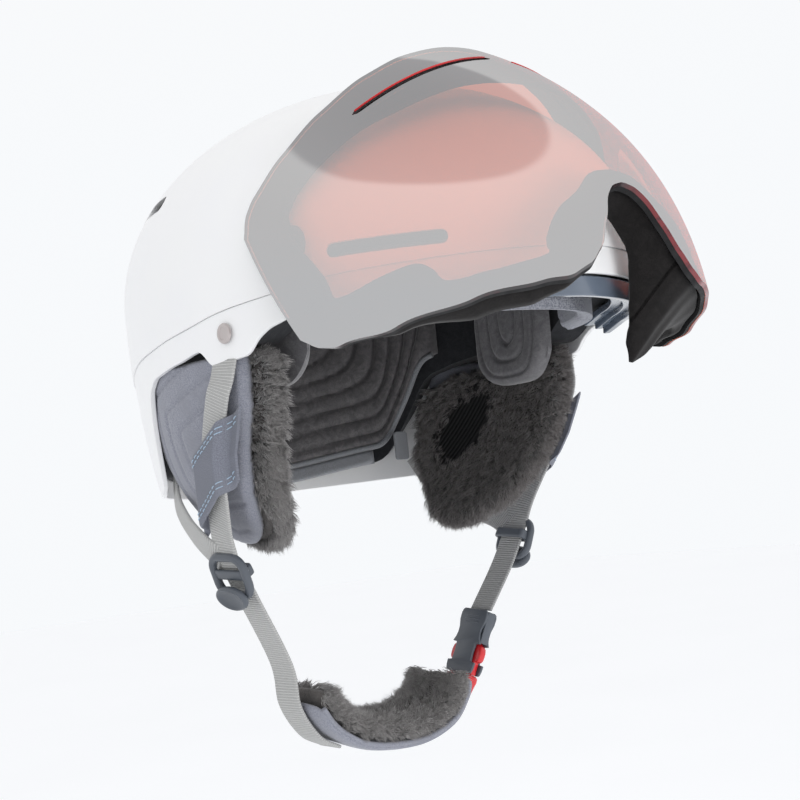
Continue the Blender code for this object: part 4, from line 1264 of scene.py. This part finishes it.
def make_slider(side, label, down, paints):
    slate = paints["slate_plastic"]
    thick, width, along = side_axes(down)
    if thick.x * side < 0:
        thick = -thick
    middle = Vector((side * SLIDER_AT[0], SLIDER_AT[1], SLIDER_AT[2]))
    outer = frame_outline(10.2 * MM, 3.9 * MM, 2.6 * MM, 8)
    inner = frame_outline(8.4 * MM, 1.9 * MM, 1.0 * MM, 8)
    half, stations = 2.4 * MM, []
    for (a, b), (c, d) in zip(outer, inner):
        ring = []
        for turn in range(16):
            angle = 2 * pi * turn / 16
            share = 0.5 + 0.5 * max(-1, min(1, 1.25 * cos(angle)))
            level = half * max(-1, min(1, 1.25 * sin(angle)))
            i, j = c + (a - c) * share, d + (b - d) * share
            ring.append(middle + width * i + thick * j + along * level)
        stations.append(ring)
    body = f"slider_{label}"
    ring = sweep(f"slider_ring_{label}", stations, slate, True, smooth=60)
    finish_piece(ring, body, [f"strap_slider_{label}"])
    hoop = [middle + width * a + along * (b + 1.0 * MM) + thick * (2.6 * MM + b * 0.16)
            for a, b in frame_outline(10.4 * MM, 9.2 * MM, 6.0 * MM, 8)]
    finish_piece(tube(f"slider_hoop_{label}", hoop, 2.0 * MM, slate, 12, True), body)
    centre = middle + along * 9.5 * MM + thick * 4.6 * MM
    sides = 48
    profile = ((0.0, 0.7), (4.0, 0.7), (7.4, 0.8), (8.8, 1.2), (9.6, 1.9), (10.0, 2.7), (9.9, 3.5),
               (9.3, 4.15),
               (8.5, 4.4), (7.8, 4.2), (7.0, 3.75), (5.0, 3.35), (2.5, 3.2), (0.0, 3.15))
    points, faces = [], []
    for reach, level in profile[1:-1]:
        for i in range(sides):
            angle = 2 * pi * i / sides
            oval = width * cos(angle) + along * 0.62 * sin(angle)
            points.append(centre + thick * level * MM + oval * reach * MM)
    count = len(profile) - 2
    faces = grid_faces(count, sides, 0, True)
    for level, start, flip in ((profile[0][1], 0, False), (profile[-1][1], (count - 1) * sides, True)):
        points.append(centre + thick * level * MM)
        for j in range(sides):
            face = (start + j, start + (j + 1) % sides, len(points) - 1)
            faces.append(face[::-1] if flip else face)
    disc = mesh_piece(f"slider_thumb_{label}", points, faces, slate, 40)
    finish_piece(disc, body, [f"slider_disc_{label}"])


def turned(name, at, axis, profile, material, sides=48, smooth=40):
    """A turned solid about an axis: the profile is (out along the axis, radius), open at both ends."""
    axis = Vector(axis).normalized()
    a = axis.orthogonal().normalized()
    b = axis.cross(a)
    stations = [[Vector(at) + axis * out + (a * cos(2 * pi * i / sides) + b * sin(2 * pi * i / sides)) * r
                 for i in range(sides)] for out, r in profile]
    return sweep(name, stations, material, smooth=smooth)


def make_straps(paints):
    for side, label in SIDES:
        # The far side's straps take the darker webbing copy: painted shade.
        web = paints["webbing" if side < 0 else "webbing_far_shaded"]
        down = Vector((side * SLIDER_DOWN[0], *SLIDER_DOWN[1:])).normalized()
        _, width, along = side_axes(down)
        top = Vector((side * SLIDER_AT[0], SLIDER_AT[1], SLIDER_AT[2])) - along * 9 * MM
        raw = [(108.4, -13, 5.5), (110.4, -12, -3)]
        raw += [(x, y, -drop) for (drop, x), (_, y) in zip(FRONT_STRAP_X[1:5], FRONT_STRAP_Y[1:])]
        front = strap_points(side, raw)
        front.append(top + along * 1.6 * MM)
        across = [(0, 1, 0.25)] * 4 + [(0, 1, 0.3), (0, 1, 0.2), tuple(width)]
        piece = webbing(f"web_front_{label}", front, across, web)
        finish_piece(piece, "helmet", [f"front_strap_{label}"])
        rear = strap_points(side,
                            ((80, 73, -36), (85.5, 65, -52), (91, 48, -65), (95, 31, -74), (94.4, 23, -80)))
        across = [(side * 0.4, -0.75, 0.5)] * 2 + [(side * 0.45, -0.6, 0.7), (side * 0.45, -0.54, 0.77),
                                                   (side * 0.2, 0.2, 1.0)]
        piece = webbing(f"web_rear_{label}", rear, across, web)
        finish_piece(piece, "helmet", [f"rear_strap_{label}"])
        x = shell_x(*RIVET_AT, 0.7 * MM)
        profile = [(p * MM, r * MM) for p, r in ((0.5, 4.4), (1.2, 4.4), (1.7, 4.1), (1.95, 3.6), (1.95, 2.9),
                                                  (1.6, 2.6), (1.55, 1.2), (1.55, 0.3))]
        rivet = turned(f"rivet_{label}", (side * x, *RIVET_AT), (side, 0, 0), profile, paints["rivet"])
        finish_piece(rivet, "helmet", [f"strap_rivet_{label}"])
        make_slider(side, label, down, paints)
        lower_strap(side, label, along, width, paints)
        make_pivot(side, label, paints)


def lower_strap(side, label, along, width, paints):
    start = Vector((side * SLIDER_AT[0], *SLIDER_AT[1:])) - along * 8 * MM
    end = strap_points(1, RIGHT_STRAP if side < 0 else LEFT_STRAP)
    path = [start, start + along * 24 * MM] + end
    # The far side's lower strap takes the darker webbing copy: painted shade.
    web = paints["webbing" if side < 0 else "webbing_far_shaded"]
    piece = webbing(f"web_lower_{label}", path, [tuple(width)] * len(path), web, steps=16 if side < 0 else 20)
    if side < 0:
        finish_piece(piece, "helmet", [f"lower_strap_{label}"])
        return
    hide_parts(f"lower_strap_{label}")
    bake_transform(piece)


def make_pivot(side, label, paints):
    wall = shell_x(HINGE[1], HINGE[2])
    inner = lens_place(71, 3 * MM, LENS_WALL)[0]
    middle = (0, HINGE[1], HINGE[2])
    low, high = wall + 1.9 * MM, inner - 5.2 * MM
    profile = ((low, 3.3 * MM), (low + 0.3 * MM, 3.5 * MM), (high - 0.5 * MM, 3.5 * MM), (high, 3.0 * MM),
               (high, 1.5 * MM), (high - 0.4 * MM, 1.2 * MM), (high - 0.4 * MM, 0.3 * MM))
    pin = turned(f"pivot_pin_{label}", middle, (side, 0, 0), profile, paints["pivot_steel"])
    finish_piece(pin, "visor", [f"visor_pivot_pin_{label}"])
    hole, low, high = 3.85 * MM, wall + 2.4 * MM, wall + 5 * MM
    outline = [(low, hole), (high - 0.3 * MM, hole), (high, hole + 0.3 * MM), (high, 7.6 * MM),
               (high - 0.4 * MM, 8 * MM), (low, 8 * MM)]
    stations = [[Vector((side * x, HINGE[1] + r * cos(2 * pi * i / 64), HINGE[2] + r * sin(2 * pi * i / 64)))
                 for x, r in outline] for i in range(64)]
    washer = sweep(f"pivot_washer_{label}", stations, paints["pivot_plastic"], True)
    finish_piece(washer, "helmet", [f"visor_pivot_washer_{label}"])


def outlined(name, origin, axes, outline, half, material, rim=0.8 * MM):
    """A moulded plate: an outline of (across, along) pairs, half thick each way, with rounded edges."""
    thick, width, along = axes
    stations = []
    rings = ((-half, rim), (-half + rim * 0.3, rim * 0.3), (-half + rim, 0.0), (half - rim, 0.0),
             (half - rim * 0.3, rim * 0.3), (half, rim))
    for level, shrink in rings:
        moved = inset_plain(outline, shrink)
        stations.append([origin + width * a + along * b + thick * level for a, b in moved])
    return sweep(name, stations, material, smooth=50)


def inset_plain(outline, distance):
    loop = [Vector(p) for p in outline]
    area = sum(a.x * b.y - b.x * a.y for a, b in zip(loop, loop[1:] + loop[:1]))
    sign = 1 if area > 0 else -1
    moved = []
    for i, p in enumerate(loop):
        along = (loop[(i + 1) % len(loop)] - loop[i - 1]).normalized()
        moved.append((p.x - along.y * distance * sign, p.y + along.x * distance * sign))
    return moved


def make_buckle(paints):
    slate, red = paints["slate_plastic"], paints["red_plastic"]
    thick, width, along = side_axes(SOCKET_DOWN)
    axes, origin = (thick, width, along), Vector(SOCKET_AT)
    half = [(7.6, -0.2), (8.8, 0.6), (9.4, 2.5), (9.3, 6), (8.2, 9.5), (7.9, 12), (8.6, 15), (9.6, 17),
            (9.8, 17.6),
            (7.0, 17.9), (6.6, 22.5), (7.0, 27.0), (9.8, 27.4), (9.7, 30), (9.0, 32.4), (8.2, 33)]
    outline = [(a * MM, b * MM) for a, b in half] + [(-a * MM, b * MM) for a, b in half[::-1]]
    outline = [p for p in resample(outline, 1.4 * MM)]
    shell_pieces = []
    for sign, label in ((-1, "inner"), (1, "outer")):
        shell_pieces.append(outlined(f"socket_{label}", origin + thick * sign * 3.05 * MM, axes, outline,
                                     0.78 * MM,
                                     slate, 0.5 * MM))
    for sign in (-1, 1):
        wall = [(9.3 * MM * sign, 0.4 * MM), (9.3 * MM * sign, 16.8 * MM), (8.3 * MM * sign, 16.8 * MM),
                (8.3 * MM * sign, 0.4 * MM)]
        shell_pieces.append(outlined("socket_wall", origin, axes, resample(wall, 1.5 * MM), 2.6 * MM, slate,
                                     0.3 * MM))
    end = [(-7.6 * MM, 0.2 * MM), (7.6 * MM, 0.2 * MM), (7.6 * MM, 8.2 * MM), (-7.6 * MM, 8.2 * MM)]
    shell_pieces.append(outlined("socket_end", origin, axes, resample(end, 1.5 * MM), 2.6 * MM, slate,
                                 0.3 * MM))
    for b in (3.2, 5.0, 6.8):
        bar = [(-5 * MM, (b - 0.35) * MM), (5 * MM, (b - 0.35) * MM), (5 * MM, (b + 0.35) * MM),
               (-5 * MM, (b + 0.35) * MM)]
        shell_pieces.append(outlined("socket_rib", origin + thick * 3.6 * MM, axes, resample(bar, 1 * MM),
                                     0.5 * MM,
                                     slate, 0.25 * MM))
    socket = join(shell_pieces, "socket_body")
    socket.data.set_sharp_from_angle(angle=radians(50))
    finish_piece(socket, "socket", ["buckle_socket"])
    below = SOCKET_LENGTH + 0.5 * MM
    top = below / MM
    tongue = [(8.2, top), (9.1, top + 0.9), (9.2, top + 3), (8.4, top + 5.5), (7.6, top + 8.5),
              (7.2, top + 10.2),
              (6.2, top + 11)]
    outline = [(a * MM, b * MM) for a, b in tongue] + [(-a * MM, b * MM) for a, b in tongue[::-1]]
    body = outlined("tongue_body", origin, axes, resample(outline, 1.2 * MM), 3.3 * MM, red, 1.3 * MM)
    slot = [(-5.6 * MM, (top + 6.2) * MM), (5.6 * MM, (top + 6.2) * MM), (5.6 * MM, (top + 8.0) * MM),
            (-5.6 * MM, (top + 8.0) * MM)]
    carve(body, [outlined("cutter", origin, axes, resample(slot, 1 * MM), 6 * MM, red, 0.3 * MM)])
    body.data.set_sharp_from_angle(angle=radians(50))
    finish_piece(body, "helmet", ["buckle_tongue"])
    blade = [(-2.2, 16.4), (2.2, 16.4), (2.2, top - 0.3), (-2.2, top - 0.3)]
    piece = outlined("tongue_centre", origin, axes, resample([(a * MM, b * MM) for a, b in blade], 1.1 * MM),
                     1.6 * MM, red, 0.5 * MM)
    finish_piece(piece, "helmet", ["tongue_blade"])
    arm = ((4.9, 33.2), (7.8, 33.2), (7.8, 26.6), (9.6, 26.3), (10.5, 25.2), (10.8, 23.4), (10.8, 21.4),
           (10.2, 19.2),
           (9.0, 18.2), (7.4, 17.4), (6.3, 16.0), (4.9, 17.0))
    for sign, label in ((-1, "front"), (1, "rear")):
        outline = [(sign * a * MM, b * MM) for a, b in arm]
        piece = outlined(f"latch_button_{label}", origin, axes, resample(outline, 1.2 * MM), 1.9 * MM, red,
                         0.6 * MM)
        finish_piece(piece, f"latch_{label}", [f"latch_arm_{label}"])
    # The tongue strap hangs on the far side and takes the darker webbing copy: painted shade.
    strap = webbing("web_tongue", strap_points(1, TONGUE_STRAP), [tuple(width)] * 3, paints["webbing_far_shaded"])
    finish_piece(strap, "helmet", ["tongue_strap"])


def pad_section(width, wall):
    """A padded strap's section, once round: crowned faces and soft edges."""
    points = []
    for i in range(40):
        angle = 2 * pi * i / 40
        a = abs(cos(angle)) ** 0.55 * (1 if cos(angle) >= 0 else -1)
        b = abs(sin(angle)) ** 0.8 * (1 if sin(angle) >= 0 else -1)
        points.append((a * width / 2, b * wall / 2))
    return points


def make_chin(paints):
    path = strap_points(1, CHIN_PATH)
    across = [(0, 1, 0.15)] * len(path)
    layers = {}
    for name, lift, width, wall in (("cover", -2.6, 34, 4.6), ("pile", 5, 36, 9.2)):
        moved = []
        for i, p in enumerate(path):
            along = path[min(i + 1, len(path) - 1)] - path[max(i - 1, 0)]
            moved.append(p + along.cross(Vector(across[0])).normalized() * lift * MM)
        layers[name] = (moved, width * MM, wall * MM)
    moved, width, wall = layers["cover"]
    places = carried(moved, across, 16)
    stations, count = [], len(places)
    for i, (p, along, wide, thick) in enumerate(places):
        end = min(i, count - 1 - i) / 6
        soft = sqrt(max(0.02, 1 - (1 - min(1, end)) ** 2))
        section = pad_section(width, wall)
        stations.append([p + wide * a * (0.55 + 0.45 * soft) + thick * b * soft for a, b in section])
    cover = sweep("chin_cover", stations, paints["ear_cloth"], smooth=80)
    finish_piece(cover, "helmet", ["chin_pad"])
    for sign, label in ((-1, "front"), (1, "rear")):
        rim = [p + wide * sign * (width / 2 - 0.6 * MM) + thick * wall * 0.30
               for p, _, wide, thick in places[3:-3]]
        piping = tube(f"chin_piping_{label}", rim, 1.25 * MM, paints["ear_cloth"], 10)
        finish_piece(piping, "helmet")
    moved, width, wall = layers["pile"]
    places = carried(moved, across, 16)
    stations, count = [], len(places)
    for i, (p, along, wide, thick) in enumerate(places):
        end = min(i, count - 1 - i) / 6
        soft = sqrt(max(0.02, 1 - (1 - min(1, end)) ** 2))
        stations.append([p + wide * a * 0.92 * (0.5 + 0.5 * soft) + thick * b * 0.82 * soft
                         for a, b in pad_section(width, wall)])
    base = sweep("chin_pile_base", stations, paints["fleece_base"], smooth=80)
    finish_piece(base, "helmet", ["chin_pad_fleece"])
    rng = np.random.default_rng(11)
    roots, normals = [], []
    for i in range(2, count - 2):
        p, along, wide, thick = places[i]
        for j in range(15):
            angle = radians(-30 + 240 * (j + 0.5 * (i % 2)) / 15)
            a = abs(cos(angle)) ** 0.55 * (1 if cos(angle) >= 0 else -1)
            b = abs(sin(angle)) ** 0.8 * (1 if sin(angle) >= 0 else -1)
            spot = p + wide * a * width / 2 * 0.86 + thick * b * wall / 2 * 0.7
            roots.append(np.array(spot) + rng.normal(0, 0.5 * MM, 3))
            normals.append(np.array(wide * cos(angle) * 0.8 + thick * sin(angle)))
    fur = fleece("chin_pile", roots, normals, (0, 0, -0.1), paints["fleece"], rng, 5.2 * MM, strands=18)
    finish_piece(fur, "helmet")


def make_paints():
    white = plastic("shell_white", lin(240, 240, 240), 0.34, 0.2, coat=0.12, other=lin(239, 239, 240))
    made = {
        "shell_white": white,
        "liner_foam": pile("liner_foam", lin(52, 53, 56), lin(40, 41, 44), 0.1, 0.3 * MM),
        "velour": pile("velour", lin(100, 98, 99), lin(76, 74, 76), 0.5, 0.2 * MM),
        "knit": cloth("knit", lin(168, 170, 178), lin(118, 120, 130), 0.9 * MM, 0.2 * MM, 0.7 * MM, 0.15),
        "temple_cloth": pile("temple_cloth", lin(122, 121, 123), lin(100, 99, 102), 0.5, 0.15 * MM),
        "brow_plastic": plastic("brow_plastic", lin(104, 114, 128), 0.18, 0.1, coat=0.5,
                                other=lin(90, 100, 114)),
        "trim_grey": cloth("trim_grey", lin(132, 134, 138), lin(108, 110, 114), 0.5 * MM, 0.1 * MM),
        "label_black": cloth("label_black", lin(24, 24, 25), lin(16, 16, 17), 0.35 * MM, 0.06 * MM,
                             sheen=0.1),
        "visor_black": plastic("visor_black", lin(22, 22, 24), 0.75, 0.04, other=lin(16, 16, 18)),
        "foam_black": pile("foam_black", lin(36, 34, 34), lin(27, 26, 26), 0.15, 0.15 * MM),
        "pivot_steel": plastic("pivot_steel", lin(90, 92, 96), 0.35, 0.3, metallic=0.9,
                               other=lin(78, 80, 84)),
        "pivot_plastic": plastic("pivot_plastic", lin(42, 44, 48), 0.5, 0.3, other=lin(34, 36, 40)),
        "ear_cloth": cloth("ear_cloth", lin(150, 152, 162), lin(127, 129, 140), 0.55 * MM, 0.12 * MM,
                           0.5 * MM, 0.3),
        "loop_cloth": cloth("loop_cloth", lin(128, 131, 141), lin(106, 108, 119), 0.6 * MM, 0.14 * MM,
                            uv=True),
        "thread_blue": cloth("thread_blue", lin(176, 196, 214), lin(150, 172, 194), 0.3 * MM, 0.05 * MM),
        # The far ear's copies of the fleece and of its base, below, are the same fleece made darker: painted
        # shade on the far ear.
        "fleece": pile("fleece", lin(166, 163, 162), lin(138, 135, 134), 0.5, 0.1 * MM),
        "fleece_far_shaded": pile("fleece_far_shaded", lin(134, 129, 128), lin(104, 100, 99), 0.5, 0.1 * MM),
        "fleece_base": pile("fleece_base", lin(104, 100, 98), lin(84, 81, 79), 0.4, 0.6 * MM),
        "fleece_base_far_shaded": pile("fleece_base_far_shaded", lin(84, 80, 79), lin(64, 62, 61), 0.4, 0.6 * MM),
        "webbing": webbing_paint("webbing", lin(196, 196, 194), lin(166, 166, 165)),
        # The far-side webbing below is the same webbing made darker: painted shade on the far side's straps.
        "webbing_far_shaded": webbing_paint("webbing_far_shaded", lin(180, 180, 180), lin(150, 150, 150)),
        "slate_plastic": plastic("slate_plastic", lin(86, 91, 99), 0.38, 0.35, other=lin(78, 83, 90)),
        "red_plastic": plastic("red_plastic", lin(206, 36, 42), 0.3, 0.2, coat=0.25, other=lin(192, 30, 36)),
        "rivet": plastic("rivet", lin(196, 188, 186), 0.38, 0.3, metallic=0.4, other=lin(182, 174, 172)),
    }
    mesh = Paint("speaker_mesh", lin(30, 30, 31), 0.8, specular=0.3)
    ribs = mesh.wave(2.1 * MM, "Y", distortion=0.1, turn=(radians(-35), 0, 0))
    mesh.tint(ribs, lin(14, 14, 14), 0.2, 0.6)
    mesh.relief(ribs, 0.4 * MM, 0.9)
    mesh.relief(mesh.cells(0.7 * MM), 0.08 * MM, 0.5)
    made["speaker_mesh"] = mesh.material
    return made


def main():
    paints = make_paints()
    make_shells(paints)
    make_linings(paints)
    make_visor(paints)
    make_ears(paints)
    make_straps(paints)
    make_buckle(paints)
    make_chin(paints)
    make_tab(paints)


def make_tab(paints):
    middle = shell_point(134, liner_height(134), PAD_OUT + 13 * MM) + Vector((0, 0, -9 * MM))
    axes = (Vector((0, 1, 0)), Vector((1, 0, 0)), Vector((0, 0, 1)))
    outline = [(a, b) for a, b in frame_outline(4.5 * MM, 7.5 * MM, 1.6 * MM, 4)]
    piece = outlined("pull_tab", middle, axes, outline, 0.8 * MM, paints["trim_grey"], 0.3 * MM)
    finish_piece(piece, "helmet", ["nape_tab"])


main()
